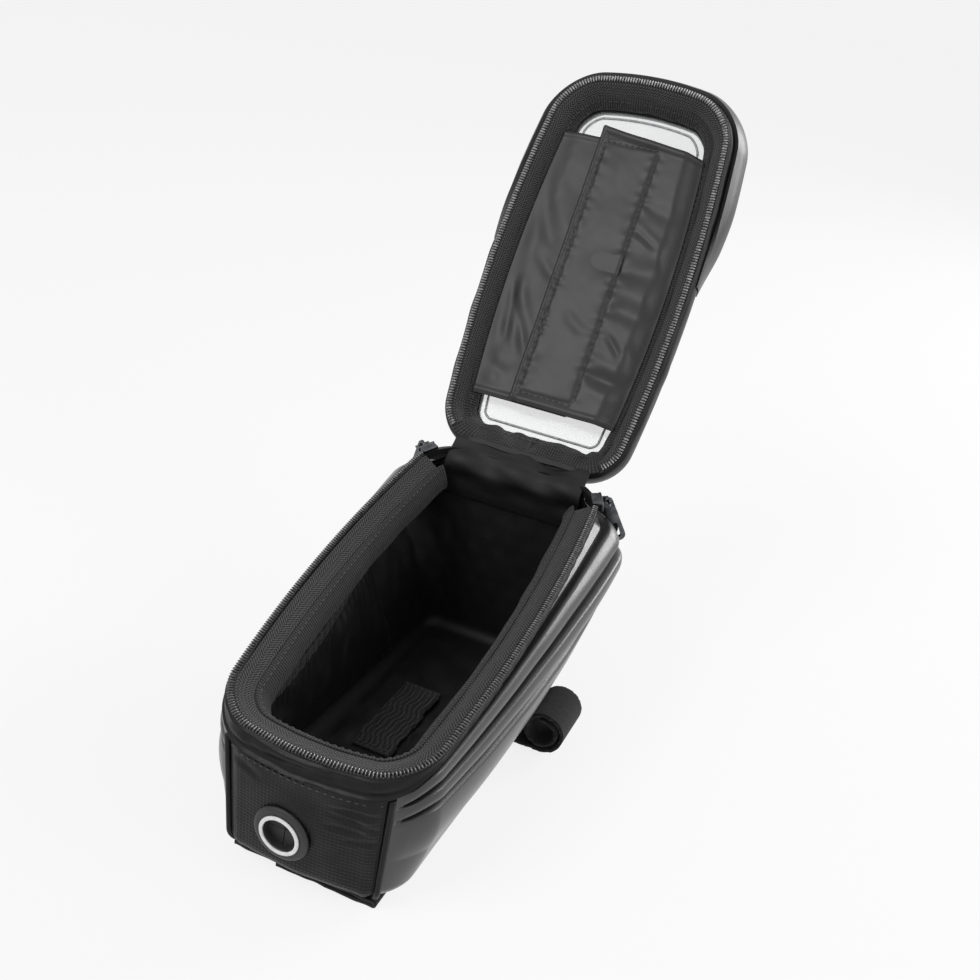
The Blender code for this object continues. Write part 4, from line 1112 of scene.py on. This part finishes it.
def makeSlipPocket():
    q = -np.linspace(slipPocket["to"], slipPocket["from"], slipPocket["columns"])
    height = np.linspace(0, 1, slipPocket["rows"])[:, None]
    top = belowRim(q, slipPocket["depth"])
    low = atHeight(q, form["floor"] + 0.004)
    v = low + (top - low) * height
    run = pathLength(wall(q, v), 1)[None, :]
    turns = run * 2 * math.pi / slipPocket["gather"]
    gather = 0.0005 * np.sin(turns + 2 * undulation(run, 0 * run, 0.02, 71)) * smooth((height - 0.55) / 0.45)
    slack = 0.0008 * undulation(run, 0.03 * height, 0.018, 72) * np.sin(math.pi * height)
    points = skin(q, v, slipPocket["face"] + pocketRoom(q, height) + gather + slack)
    made = addGrid("slipPocket", "lining", "bag", ["inner_pocket"], points[:, ::-1])
    thicken(made, 0.0006)
    rise = np.linspace(0.0002, 0.0062, 12)[:, None]
    v = belowRim(q, slipPocket["depth"] - rise)
    run = pathLength(wall(q, v), 1)[None, :]
    ribs = 0.00018 * np.cos(rise * 2 * math.pi / 0.0012)
    ribs = ribs + 0.0003 * np.sin(run * 2 * math.pi / slipPocket["gather"])
    points = skin(q, v, slipPocket["face"] + 0.0006 + pocketRoom(q, 1.0) + ribs)
    elastic = addGrid("slipPocketElastic", "grosgrain", "bag", ["pocket_elastic"], points[:, ::-1])
    thicken(elastic, 0.0014)
    return made, elastic


slipPiece, slipElastic = makeSlipPocket()


def makeFloorElastic():
    # gathered ribs along its length, sewn down at its two ends
    spec = floorElastic
    u = np.linspace(-1, 1, 70)[None, :] * spec["width"] / 2
    v = np.linspace(-1, 1, 150)[:, None] * spec["length"] / 2
    wander = 0.0006 * undulation(0 * u, v, 0.015, 81)
    fromEnd = spec["length"] / 2 - np.abs(v)
    ribs = 0.0003 * np.cos((u + wander) * 2 * math.pi / spec["ribs"]) * smooth(fromEnd / 0.002)
    arch = 0.0012 * smooth(fromEnd / 0.008) * (0.6 + 0.4 * undulation(u, v, 0.03, 82))
    z = form["floor"] + 0.0019 + ribs + arch
    points = joined(spec["x"] + u + wander, spec["y"] + v, z)
    made = addGrid("floorElastic", "grosgrain", "bag", ["floor_elastic"], points)
    thicken(made, 0.0012)
    lines = []
    for end in (-1, 1):
        y = spec["y"] + end * (spec["length"] / 2 - 0.002)
        path = np.stack([spec["x"] + u[0], np.full(70, y), np.full(70, form["floor"] + 0.0030)], axis=-1)
        lines.append((path, np.tile([0.0, 0.0, 1.0], (70, 1))))
    sewLines("floorElasticStitches", lines, "bag")


makeFloorElastic()


# hinge gusset: a loose fold of lining between the bag's rear edge and the lid
gusset = {
    "half": 0.034,
    "path": ((0.0112, -0.0012), (0.0065, 0.0006), (0.0020, 0.0004), (-0.0034, -0.0012), (-0.0066, -0.0045),
             (-0.0084, -0.0105), (-0.0080, -0.0170), (-0.0070, -0.0250)),
    "columns": 110,
    "rows": 60,
}


def makeGusset():
    path = interpolated(gusset["path"], gusset["rows"])
    x = np.linspace(-1, 1, gusset["columns"])[None, :] * gusset["half"]
    down = np.linspace(0, 1, gusset["rows"])[:, None]
    loose = np.sin(math.pi * np.clip(down * 1.1, 0, 1))
    sway = undulation(x, 0 * down, 0.035, 91)
    folds = 0.0011 * np.sin(2 * math.pi * (down * 2.1 + 0.12 * sway))
    pucker = loose * (folds + 0.0009 * undulation(x, 0.05 * down, 0.019, 92))
    tangent = np.gradient(path, axis=0)
    tangent /= np.linalg.norm(tangent, axis=-1, keepdims=True)
    y = hingeY + path[:, :1] + tangent[:, 1:] * pucker
    z = hingeZ + path[:, 1:] - tangent[:, :1] * pucker
    made = addGrid("hingeGusset", "lining", None, ["hinge_gusset"], joined(x, y, z))
    thicken(made, 0.0005)
    return made


gussetPiece = makeGusset()
print("pocket, elastic and gusset made")


# cable port: a silicone grommet through the front panel, a silver ring on it and a slit membrane inside
port = {
    "flange": 0.0120, "neck": 0.0098, "bore": 0.0072, "thick": 0.0016, "ringWidth": 0.0016,
    "ringThick": 0.0009, "membrane": 0.0008, "slit": 0.00035, "steps": 96,
    "petalCells": 14,
}


def lathed(name, profile, steps):
    # a closed profile of radius and height carried round the port's axis
    point, across, up, out = portFrame()
    angle = np.arange(steps) * 2 * math.pi / steps
    radius, level = np.array(profile + profile[:1]).T
    ring = np.cos(angle)[:, None] * across + np.sin(angle)[:, None] * up
    points = point + ring[None] * radius[:, None, None] + level[:, None, None] * out
    return gridMesh(name, points, closed=True, weld=True)


def roundedProfile(corners, radius):
    # each corner of a closed profile becomes a short arc
    corners = np.array(corners)
    made = []
    for i in range(len(corners)):
        here, before, after = corners[i], corners[i - 1], corners[(i + 1) % len(corners)]
        toBefore = (before - here) / np.linalg.norm(before - here)
        toAfter = (after - here) / np.linalg.norm(after - here)
        reach = min(radius, 0.45 * np.linalg.norm(before - here), 0.45 * np.linalg.norm(after - here))
        for t in (0.0, 0.33, 0.67, 1.0):
            a, b = here + toBefore * reach * (1 - t), here + toAfter * reach * t
            made.append(tuple(a + (b - a) * t))
    return made


def makePort():
    behind = -0.0053
    flange, neck, bore, thick = port["flange"], port["neck"], port["bore"], port["thick"]
    front = 0.0003 + thick
    corners = [(flange, 0.0012), (flange, 0.0002), (neck, 0.0002), (neck, behind), (flange, behind),
               (flange, behind - thick), (bore, behind - thick), (bore, front), (flange - 0.0012, front)]
    mesh = lathed("portGrommet", roundedProfile(corners, 0.0006), port["steps"])
    piece = addPiece("portGrommet", mesh, "rubber", "bag", ["cable_port_flange"])
    merge(piece.data, outward=True)
    outer = bore + port["ringWidth"]
    top = front + port["ringThick"]
    corners = [(outer, top), (outer, front), (bore, front), (bore, top)]
    piece = addPiece("portRing", lathed("portRing", roundedProfile(corners, 0.0005), port["steps"]),
                     "silver", "bag", ["cable_port_ring"])
    merge(piece.data, outward=True)
    point, across, up, out = portFrame()
    meshes = []
    cells = port["petalCells"]
    reach = bore + 0.0002
    for quarter in range(4):
        start = quarter * math.pi / 2
        u, v = np.meshgrid(np.linspace(0, 1, cells), np.linspace(0, 1, cells))
        # a square of parameters becomes a quarter disc, with half a slit left free on its two straight sides
        angle = u * math.pi / 2
        radius = v * reach
        a = np.maximum(radius * np.cos(angle), 0) + port["slit"] / 2
        b = np.maximum(radius * np.sin(angle), 0) + port["slit"] / 2
        lift = -0.0007 * (1 - v) ** 2
        x = a * math.cos(start) - b * math.sin(start)
        y = a * math.sin(start) + b * math.cos(start)
        inside = np.minimum(1, reach / np.maximum(np.hypot(x, y), 1e-9))
        x, y = x * inside, y * inside
        level = -form["wall"] / 2 + lift
        points = point + x[..., None] * across + y[..., None] * up + level[..., None] * out
        meshes.append(points)
    vertices = np.concatenate([m.reshape(-1, 3) for m in meshes])
    index = np.arange(cells ** 2).reshape(cells, cells)
    corners = [index[:-1, :-1], index[:-1, 1:], index[1:, 1:], index[1:, :-1]]
    quads = np.stack(corners, axis=-1).reshape(-1, 4)
    faces = np.concatenate([quads + k * cells ** 2 for k in range(4)])
    mesh = bpy.data.meshes.new("portMembrane")
    mesh.from_pydata(vertices.tolist(), [], faces.tolist())
    merge(mesh)
    piece = addPiece("portMembrane", mesh, "rubber", "bag", ["cable_port_membrane"])
    thicken(piece, port["membrane"])


makePort()


# sliders and pulls: the solids' own shapes with their edges rounded
def roundedCopy(node, body, width):
    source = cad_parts[node]
    mesh = source.data.copy()
    mesh.materials.clear()
    merge(mesh, flat=True)
    name = node.split("_")[0] + "Cast." + node.split("_")[1]
    made = addPiece(name, mesh, "zinc", body, [node])
    roundEdges(made, width, 35)


for word in ("right", "left"):
    roundedCopy("slider_" + word, "bag", 0.00030)
    roundedCopy("pull_" + word, word + "_pull", 0.00035)
print("port and sliders made")


# lid: coated cloth wall and frame round the window, sewn along the frame's inner edge
lid = {"columns": 520, "foot": 0.0028, "frame": 0.0130, "skin": 0.0020, "shoulder": 0.0130}


def lidFlare(q, n):
    return form["lidFlare"] * np.sin(math.pi * np.clip(n / form["lidDepth"], 0, 1)) * (np.abs(q) < 4.0)


def makeLidShell():
    q = ringStations(lid["columns"])
    atHinge = smooth((np.abs(q) - form["lidZipEnd"]) / 0.5)
    foot = lid["foot"] + (0.0006 - lid["foot"]) * atHinge
    share = np.linspace(0, 1, 24)[:, None]
    level = foot + (lid["shoulder"] - foot) * share
    run = pathLength(rimPoint(q[None, :], 0.0, level), 1)[None, :]
    slack = 0.0002 * undulation(run, level, 0.02, 101)
    roll = 0.0010 * np.exp(-((share - 0.0) / 0.10) ** 2)
    outer = rimPoint(q[None, :], -lidFlare(q, level) - slack + roll, level)
    inner = rimPoint(q[None, :], form["wall"] - lidFlare(q, level), level)
    made = addGrid("lidWall", "coated", "lid", ["lid_wall"], toLid(outer), toLid(inner), closed=True)

    faces = []
    for inset in (0.0, lid["skin"]):
        start = inset - lidFlare(q, lid["shoulder"])
        rows = []
        for turn in np.linspace(0, math.pi / 2, 12):
            inwards = start + (form["lidRound"] - start) * (1 - math.cos(turn))
            rows.append(rimPoint(q, inwards, lid["shoulder"] + (form["lidRound"] - inset) * math.sin(turn)))
        for t in np.linspace(0.12, 1, 12):
            inwards = form["lidRound"] + (lid["frame"] - form["lidRound"]) * t
            hem = 0.0005 * math.exp(-((t - 0.86) / 0.16) ** 2) - 0.0006 * max(0.0, t - 0.93) / 0.07
            rows.append(rimPoint(q, inwards, form["lidDepth"] - inset + (hem if inset == 0 else 0)))
        faces.append(toLid(np.stack(rows)))
    made = addGrid("lidFrame", "coated", "lid", ["lid_frame"], faces[0], faces[1], closed=True)

    around = np.append(q, q[0])
    line = toLid(rimPoint(around, 0.0100, form["lidDepth"] + 0.0003))
    out = toLid(rimPoint(around, 0.0100, form["lidDepth"] + 0.0013)) - line
    sewLines("lidFrameStitches", [(line, out)], "lid")


makeLidShell()


# window: clear film across the lid, with a faint sag and handling ripples
def makeWindow():
    q = ringStations(300)
    level = form["lidDepth"] - 0.0020 - 0.0006
    edge = rimPoint(q, 0.0088, level)
    centre = np.array([0.0, -form["rimLength"] / 2, level])
    shares = np.linspace(1, 0, 44)
    rows = centre + (edge[None] - centre) * shares[:, None, None]
    ripple = 0.00016 * undulation(rows[..., 0], rows[..., 1], 0.03, 111)
    inside = 1 - shares[:, None]
    rows[..., 2] += ripple * smooth(inside / 0.2) - 0.0006 * smooth(inside / 0.9)
    made = addGrid("windowFilm", "film", "lid", ["window"], toLid(rows), closed=True, weld=True)
    thicken(made, 0.0004)
    # the bead where the film was welded, a little way in from the frame
    around = np.append(q, q[0])
    path = toLid(rimPoint(around, 0.0162, level - 0.0006))
    out = toLid(rimPoint(around, 0.0162, level + 0.0004)) - path
    addPiece("windowWeld", tubeMesh("windowWeld", path, 0.0006, 8, out), "weld", "lid")
    return made


windowPiece = makeWindow()


# hood: a moulded shade round the front half of the lid
hood = {
    "end": 2.45, "foot": 0.006, "thick": 0.002, "out": 0.004, "rise": 0.0055, "lip": 0.006, "edge": 0.0006,
    "columns": 300, "rows": 40,
}


def makeHood():
    q = stations(-hood["end"], hood["end"], hood["columns"])
    full = smooth((hood["end"] - np.abs(q)) / 0.30)
    edge = form["lidFlare"] + hood["thick"] + 0.0003
    top = form["lidDepth"] + 0.0003 + hood["thick"] + hood["rise"] * full
    zero = 0 * q
    corners = np.stack([
        np.stack([lidFlare(q, hood["foot"]) + hood["thick"] + 0.0003, hood["foot"] + zero], axis=-1),
        np.stack([edge + hood["out"] * full * 0.6, 0.6 * form["lidDepth"] + zero], axis=-1),
        np.stack([edge + hood["out"] * full, form["lidDepth"] + zero], axis=-1),
        np.stack([edge * 0.6 + hood["out"] * full * 0.6, top], axis=-1),
        np.stack([-hood["lip"] + zero, top + 0.0003], axis=-1),
    ])
    t = np.linspace(0, 1, hood["rows"])
    marks = np.linspace(0, 1, len(corners))
    weights = np.stack([np.interp(t, marks, unit) for unit in np.eye(len(corners))], axis=1)
    profile = np.einsum("tk,kqj->tqj", weights, corners)
    for _ in range(16):
        profile[1:-1] = (profile[:-2] + 2 * profile[1:-1] + profile[2:]) / 4
    # the ends thin out onto the lid's wall
    thin = np.sqrt(smooth((hood["end"] + 0.004 - np.abs(q)) / 0.16))[None, :]
    ground = lidFlare(q[None, :], np.minimum(profile[..., 1], form["lidDepth"])) + 0.0004
    out = profile[..., 0]
    out = np.where(out > ground, ground + (out - ground) * (0.12 + 0.88 * thin), out)
    points = toLid(rimPoint(q[None, :], -out, profile[..., 1]))
    inward = gridNormals(points) * (hood["thick"] * (0.15 + 0.85 * thin))[..., None]
    made = addGrid("hood", "hoodShell", "lid", ["sun_visor"], points, points - inward)
    roundEdges(made, hood["edge"], 50)


makeHood()


# zip on the lid, binding round its inside and the lining under the frame
def makeLidZip():
    q = stations(-form["lidZipEnd"], form["lidZipEnd"], zipBag["columns"])
    profile = interpolated([(0.0006, 0.0026), (0.0034, 0.0026), (0.0044, 0.0032), (0.0086, 0.0082)], 24)
    mesh = tapeMesh("zipTape", q[::-1], profile, toLid, 0.0002, 121)
    tape = addPiece("zipTape.lid", mesh, "herringbone", "lid", ["zip_tape_lid"])
    thicken(tape, zipBag["tape"])
    mesh = toothMesh("zipTeeth", q, zipBag["toothInset"], zipBag["toothLevel"], toLid)
    # the lid's teeth take the paler copy, whose lighter colour is painted highlight
    addPiece("zipTeeth.lid", mesh, "glintPaintedCoil", "lid", ["zip_chain_lid"])
    q = ringStations(520)
    narrow = interpolated([(0.0080, 0.0070), (0.0092, 0.0074), (0.0118, 0.0104), (0.0124, 0.0128),
                           (0.0112, 0.0140)], 26)
    wide = interpolated([(0.0004, 0.0016), (0.0028, 0.0022), (0.0092, 0.0074), (0.0132, 0.0118),
                         (0.0124, 0.0146)], 26)
    atHinge = smooth((np.abs(q) - 3.25) / 0.35)[None, :, None]
    inset, level = np.moveaxis(narrow[:, None] + (wide - narrow)[:, None] * atHinge, -1, 0)
    run = pathLength(rimPoint(q[None, :], inset, level), 1)[None, :]
    slack = (0.0002 + 0.0005 * atHinge[..., 0]) * undulation(run, level, 0.012, 122)
    points = rimPoint(q[None, :], inset + slack, level - 0.4 * slack)
    binding = addGrid("binding.lid", "grosgrain", "lid", ["binding_lid"], toLid(points), closed=True)
    thicken(binding, 0.0007)
    around = np.append(q, q[0])
    line = toLid(rimPoint(around, 0.0104, 0.0080))
    inward = toLid(rimPoint(around, 0.0110, 0.0072)) - line
    sewLines("bindingStitches.lid", [(line, inward)], "lid")
    level = 0.0146
    points = np.stack([rimPoint(q, inset, level) for inset in np.linspace(0.0050, 0.0128, 8)])
    lining = addGrid("lidLining", "lining", "lid", ["lid_lining"], toLid(points), closed=True)
    thicken(lining, 0.0005)
    return lining


lidLiningPiece = makeLidZip()
print("lid made")

# window pocket: a satin panel on the left and a flap over it, whose free edge is a rolled hem
windowPocket = {
    "rear": -0.0255,
    "frontLeft": -0.1645,
    "frontFlap": (-0.1695, -0.1630),   # the flap's front edge at its free corner and at the right wall
    "flapEdge": -0.0162,
    "flapRight": 0.045,
    "panelEdge": 0.0125,
    "shoulder": 0.0100,
    "edgeLevel": 0.0074,
    "panelLevel": 0.0062,
    "flapLevel": 0.0032,
    "stitchLeft": -0.0133,
    "stitchRight": 0.0140,
    "stitchFront": -0.1626,
    "stitchRear": -0.0312,
    "columns": 120,
    "rows": 260,
    # x, s, angle, length, width and depth of the larger folds, in millimetres
    "panelFolds": ((-31, -120, 60, 40, 5.0, 1.3), (-33, -70, 78, 30, 3.2, 1.8), (-24, -62, 62, 30, 2.4, 0.8),
                   (-30, -40, 15, 16, 3.0, 0.6), (-22, -95, 40, 18, 3.0, 0.6)),
    "flapFolds": ((22, -102, 4, 46, 5.5, 1.3), (28, -80, 12, 30, 4.5, 1.1), (30, -46, 8, 30, 3.6, 1.7),
                  (36, -58, 60, 14, 2.0, 0.9), (24, -64, 45, 12, 1.6, 0.6), (37, -108, 70, 16, 2.2, 1.2),
                  (22, -118, 30, 14, 1.6, 0.5), (2, -70, 35, 14, 2.4, 0.4), (26, -132, 15, 20, 3.0, 0.4)),
}


def pocketEdge(s):
    # half width of the pocket at s: the rim outline there, inside the binding
    along = (s + form["rimLength"] / 2) / (form["rimLength"] / 2)
    bowed = rim["half"] + rim["sideBow"] * (1 - along ** 2)
    intoFront = np.clip(-s - (form["rimLength"] - rim["frontCorner"]), 0, rim["frontCorner"])
    intoRear = np.clip(s + rim["rearCorner"], 0, rim["rearCorner"])
    lostFront = rim["frontCorner"] - np.sqrt(rim["frontCorner"] ** 2 - intoFront ** 2)
    lostRear = rim["rearCorner"] - np.sqrt(rim["rearCorner"] ** 2 - intoRear ** 2)
    return bowed - lostFront - lostRear - 0.0104


def puckers(x, s, line, low, high, seed):
    # small cross folds that a row of stitches draws into thin cloth
    off = np.abs(x - line)
    within = smooth((s - low) / 0.004) * smooth((high - s) / 0.004)
    ripple = np.sin(s * 2 * math.pi / 0.0068 + 1.8 * undulation(0 * x, s, 0.02, seed))
    return (0.00028 * ripple * np.exp(-(off / 0.0034) ** 2) + 0.0008 * np.exp(-(off / 0.0011) ** 2)) * within


def pocketCloth(name, side, inner, front, level, folds, seed, node):
    spec = windowPocket
    rows = np.linspace(0, 1, spec["rows"])[:, None]
    s = front(0.0) + (spec["rear"] - front(0.0)) * rows
    edge = pocketEdge(s)
    across = np.linspace(0, 1, spec["columns"])[None, :]
    x = side * (inner + (edge - inner) * across)
    s = front(x) + (spec["rear"] - front(x)) * rows
    rise = smooth((np.abs(x) * (np.sign(x) == side) - (edge - spec["shoulder"])) / spec["shoulder"])
    n = level + (spec["edgeLevel"] - level) * rise
    calm = (1 - rise) * smooth(across / 0.02 + 0.2)
    # a fold pressed in moves away from the viewer, which is +n here
    height = -creases(x, s, folds) * calm - 0.00022 * undulation(x, s, 0.026, seed) * calm
    height = height - 0.00004 * undulation(x, s, 0.008, seed + 1) * calm
    height = height - 0.0008 * np.exp(-((s - spec["rear"] + 0.0022) / 0.0013) ** 2)
    if side > 0:
        low, high = spec["stitchFront"], spec["stitchRear"]
        height = height + puckers(x, s, spec["stitchLeft"], low, high, seed + 2)
        height = height + puckers(x, s, spec["stitchRight"], low, high, seed + 3)
        between = smooth((x - spec["stitchLeft"]) / 0.001) * smooth((spec["stitchRight"] - x) / 0.001)
        for at in (spec["stitchFront"], spec["stitchRear"]):
            height = height + 0.0007 * np.exp(-((s - at) / 0.0012) ** 2) * between
        hem = np.exp(-((x - spec["flapEdge"] - 0.0013) / 0.0013) ** 2)
        hem = np.maximum(hem, np.exp(-((s - front(x) - 0.0016) / 0.0015) ** 2))
        height = height - 0.0014 * hem
        onStrip = smooth((0.0150 - np.abs(x)) / 0.002)
        height = np.where(onStrip > 0, np.minimum(height, 0.0006 + 0.002 * (1 - onStrip)), height)
    else:
        height = height - 0.0007 * np.exp(-((s - front(x) - 0.0014) / 0.0012) ** 2)
    points = np.stack([x, s, n + height], axis=-1)
    if side > 0:
        points = points[:, ::-1]
    made = addGrid(name, "satin", "lid", [node], toLid(points))
    thicken(made, 0.0008)
    return made, points


def surfaceLine(points, x, s):
    # a path laid on a grid of points given by x and s: the level of the nearest grid point, and the
    # normal on the side towards the viewer
    flat = points.reshape(-1, 3)
    normal = gridNormals(points).reshape(-1, 3)
    normal = normal * np.where(normal[:, 2:] > 0, -1, 1)
    off = (flat[None, :, 0] - x[:, None]) ** 2 + (flat[None, :, 1] - s[:, None]) ** 2
    nearest = off.argmin(axis=1)
    path = np.stack([x, s, flat[nearest, 2] - 0.0005], axis=-1)
    tip = path + normal[nearest] * millimetre
    return toLid(path), toLid(tip) - toLid(path)


def makeWindowPocket():
    spec = windowPocket
    free, fixed = spec["frontFlap"]
    span = spec["flapRight"] - spec["flapEdge"]

    def panelFront(x):
        return spec["frontLeft"] + 0 * x

    def flapFront(x):
        return free + (fixed - free) * (x - spec["flapEdge"]) / span

    panel, _ = pocketCloth("pocketPanel", -1, -spec["panelEdge"], panelFront, spec["panelLevel"],
                           spec["panelFolds"], 131, "pocket_panel")
    flap, points = pocketCloth("pocketFlap", 1, spec["flapEdge"], flapFront, spec["flapLevel"],
                               spec["flapFolds"], 141, "pocket_flap")
    s = np.linspace(spec["stitchFront"], spec["stitchRear"], 120)
    x = np.linspace(spec["stitchLeft"], spec["stitchRight"], 40)
    lines = [surfaceLine(points, np.full(120, at), s) for at in (spec["stitchLeft"], spec["stitchRight"])]
    lines += [surfaceLine(points, x, np.full(40, at)) for at in (spec["stitchFront"], spec["stitchRear"])]
    sewLines("flapStitches", lines, "lid")
    return panel, flap


panelPiece, flapPiece = makeWindowPocket()


# fastener strips between the panel and the flap: one with hooks, one with pile
fastener = {"half": 0.0118, "front": -0.161, "rear": -0.032, "thick": 0.0005}


def makeFasteners():
    for name, low, node in (("hookStrip", 0.0044, "hook_strip"), ("loopStrip", 0.0051, "loop_strip")):
        u = np.linspace(-1, 1, 40)[None, :] * fastener["half"]
        s = np.linspace(fastener["front"], fastener["rear"], 200)[:, None]
        nap = 0.00004 * undulation(u, s, 0.0016, 151)
        face = joined(u, s, low + nap)
        back = joined(u, s, low + fastener["thick"])
        piece = addGrid(name, "pile", "lid", [node], toLid(face), toLid(back))
        merge(piece.data, outward=True)


makeFasteners()
print("window pocket made")

# straps: 25 mm loop tape with a heat-cut edge and a nap of short hairs
strap = {
    "width": 0.025, "thick": 0.0016, "frontY": base["front"] + 0.0130, "midY": base["rear"] - 0.0487,
    "foldInset": 0.0075, "foldBack": 0.042, "foldGap": 0.0005, "rollOut": 0.0135, "roll": 0.010,
    "rollInner": 0.0072, "rollTurn": math.radians(560), "climb": 0.42, "stand": 0.0008,
}


def ribbonPoints(path, y, frayed=0.0, seed=0):
    # a strap whose middle line is a path of x and z, its edges uneven by a fraction of a millimetre
    x, z = path.T
    across = np.linspace(-1, 1, 30)[None, :]
    run = runAlong(path)[:, None]
    edge = 0.00025 * undulation(run, across, 0.008, 161 + seed)
    edge = edge + frayed * undulation(run, across, 0.002, 171 + seed)
    yy = y + across * (strap["width"] / 2 + edge * np.abs(across) ** 4)
    return joined(x[:, None], yy, z[:, None])


def makeFrontStrap():
    under = -0.0003 - strap["thick"] / 2
    bend = (strap["thick"] + strap["foldGap"]) / 2
    halfRun = base["half"] - strap["foldInset"]
    angles = np.linspace(0, math.pi, 16)
    fold = np.column_stack([halfRun + bend * np.sin(angles), under - bend + bend * np.cos(angles)])
    run = np.column_stack([np.linspace(-halfRun, halfRun, 60)[:-1], np.full(59, under)])
    backX = np.linspace(halfRun, halfRun - strap["foldBack"], 40)[1:]
    back = np.column_stack([backX, np.full(len(backX), under - 2 * bend)])
    points = ribbonPoints(np.concatenate([run, fold, back]), strap["frontY"])
    piece = addGrid("strapFront", "pile", "bag", ["strap_front"], points)
    thicken(piece, strap["thick"])


def makeMidStrap():
    under = -0.0003 - strap["thick"] / 2
    angles = np.linspace(0, strap["rollTurn"], 150)
    radius = strap["roll"] + (strap["rollInner"] - strap["roll"]) * angles / (2 * math.pi)
    centre = (base["half"] + strap["rollOut"], under + strap["roll"])
    roll = np.column_stack([centre[0] + radius * np.sin(angles), centre[1] - radius * np.cos(angles)])
    y = strap["midY"] + np.linspace(-1, 1, 30) * strap["width"] / 2
    start = base["front"] + base["frontCorner"]
    q = -(2 + (y - start) / (base["rear"] - base["rearCorner"] - start))
    turn = np.linspace(0.99, 0, 14) * form["turnShare"]
    v = np.concatenate([np.linspace(strap["climb"], form["turnShare"], 60), turn])
    climb = skin(q[None, :], v[:, None], -strap["stand"] - strap["thick"] / 2)
    climb[..., 1] = y
    last = climb[-1, :, 0].mean()
    run = np.column_stack([np.linspace(last, centre[0], 70)[2:], np.full(68, under)])
    rest = ribbonPoints(np.concatenate([run, roll[1:]]), strap["midY"], 0.0002, 1)
    points = np.concatenate([climb, rest])
    piece = addGrid("strapMid", "pile", "bag", ["strap_mid"], points)
    thicken(piece, strap["thick"])


def makeHeadStrap():
    reach, tip = 0.051, 0.011
    straight = reach - tip
    end = reach - tip * (1 - np.cos(np.linspace(math.pi / 2, 0, 14)[1:]))
    x = np.concatenate([-end[::-1], np.linspace(-straight, straight, 70), end])
    into = np.clip((np.abs(x) - straight) / (tip + 0.0004), 0, 1)
    halfWidth = strap["width"] / 2 * np.sqrt(1 - into ** 2)
    across = np.linspace(1, -1, 34)[:, None]
    y = hingeY + 0.0003 + strap["thick"] / 2 + 0.004 * (x / reach) ** 2
    z = hingeZ - 0.00945 - strap["width"] / 2 + halfWidth * across
    nap = 0.00010 * undulation(x[None, :], z, 0.003, 181)
    mesh = gridMesh("headStrap", joined(x[None, :], y[None, :] + nap, z))
    piece = addPiece("headStrap", mesh, "pile", "bag", ["head_strap"])
    thicken(piece, strap["thick"])


makeFrontStrap()
makeMidStrap()
makeHeadStrap()
print("straps made")

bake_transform(gussetPiece)

# floor, lamps and camera
studio = {
    "floor": "#F4F4F4", "white": "#FBFBFB", "ambient": 0.45, "floorLevel": -0.0041, "reach": 60,
    "plain": 0.86, "aim": (0.0, 0.0, 0.08),
}


def seenDirectly(tree):
    # 1 where the backdrop is seen, also mirrored or through the film, and 0 for the light that it gives
    ray = addNode(tree, "LightPath").outputs
    total = addNode(tree, "Math", {0: ray["Is Camera Ray"], 1: ray["Is Glossy Ray"]}, operation="ADD")
    total = addNode(tree, "Math", {0: total.outputs[0], 1: ray["Is Transmission Ray"]}, operation="ADD",
                    use_clamp=True)
    return total.outputs[0]


def makeStudio():
    mesh = bpy.data.meshes.new("floor")
    z = studio["floorLevel"]
    far = studio["reach"]
    mesh.from_pydata([(-far, -far, z), (far, -far, z), (far, far, z), (-far, far, z)], [], [(0, 1, 2, 3)])
    floor = bpy.data.objects.new("floor", mesh)
    bpy.context.scene.collection.objects.link(floor)
    paper = bpy.data.materials.new("studioPaper")
    paper.use_nodes = True
    tree = paper.node_tree
    shader = tree.nodes["Principled BSDF"]
    shader.inputs["Base Color"].default_value = linear(studio["floor"])
    shader.inputs["Roughness"].default_value = 0.9
    share = product(tree, seenDirectly(tree), studio["plain"])
    glow = addNode(tree, "Emission", {"Color": linear(studio["white"]), "Strength": 1.0})
    mix = addNode(tree, "MixShader", {0: share, 1: shader.outputs[0], 2: glow.outputs[0]})
    tree.links.new(mix.outputs[0], tree.nodes["Material Output"].inputs["Surface"])
    mesh.materials.append(paper)

    world = bpy.data.worlds.new("studio")
    bpy.context.scene.world = world
    world.use_nodes = True
    tree = world.node_tree
    level = ranged(tree, seenDirectly(tree), 0.0, 1.0, studio["ambient"])
    tree.nodes["Background"].inputs["Color"].default_value = linear(studio["white"])
    tree.links.new(level, tree.nodes["Background"].inputs["Strength"])

    lamps = (
        ("keyLamp", (-0.45, -0.70, 1.05), 0.6, 7.0),
        ("sideLamp", (1.15, 0.10, 0.75), 0.6, 5.0),
        ("backLamp", (0.75, 1.05, 0.60), 0.6, 9.0),
    )
    for name, place, size, power in lamps:
        light = bpy.data.lights.new(name, "AREA")
        light.shape = "SQUARE"
        light.size = size
        light.energy = power
        lamp = bpy.data.objects.new(name, light)
        bpy.context.scene.collection.objects.link(lamp)
        aim = Vector(studio["aim"]) - Vector(place)
        lamp.matrix_world = Matrix.Translation(place) @ aim.to_track_quat("-Z", "Y").to_matrix().to_4x4()

    camera = bpy.data.objects.new("camera", bpy.data.cameras.new("camera"))
    bpy.context.scene.collection.objects.link(camera)
    right = Vector((0.90923, 0.39591, 0.12866))
    up = Vector((-0.28561, 0.36841, 0.8847))
    back = right.cross(up)
    turn = Matrix((right, up, back)).transposed().to_4x4()
    camera.matrix_world = Matrix.Translation((0.168888, -0.411915, 0.352043)) @ turn
    camera.data.lens = 45.94
    camera.data.sensor_width = 36.0
    camera.data.clip_start = 0.01
    bpy.context.scene.camera = camera
    bpy.context.scene.view_settings.view_transform = "Standard"


makeStudio()
print("studio made")
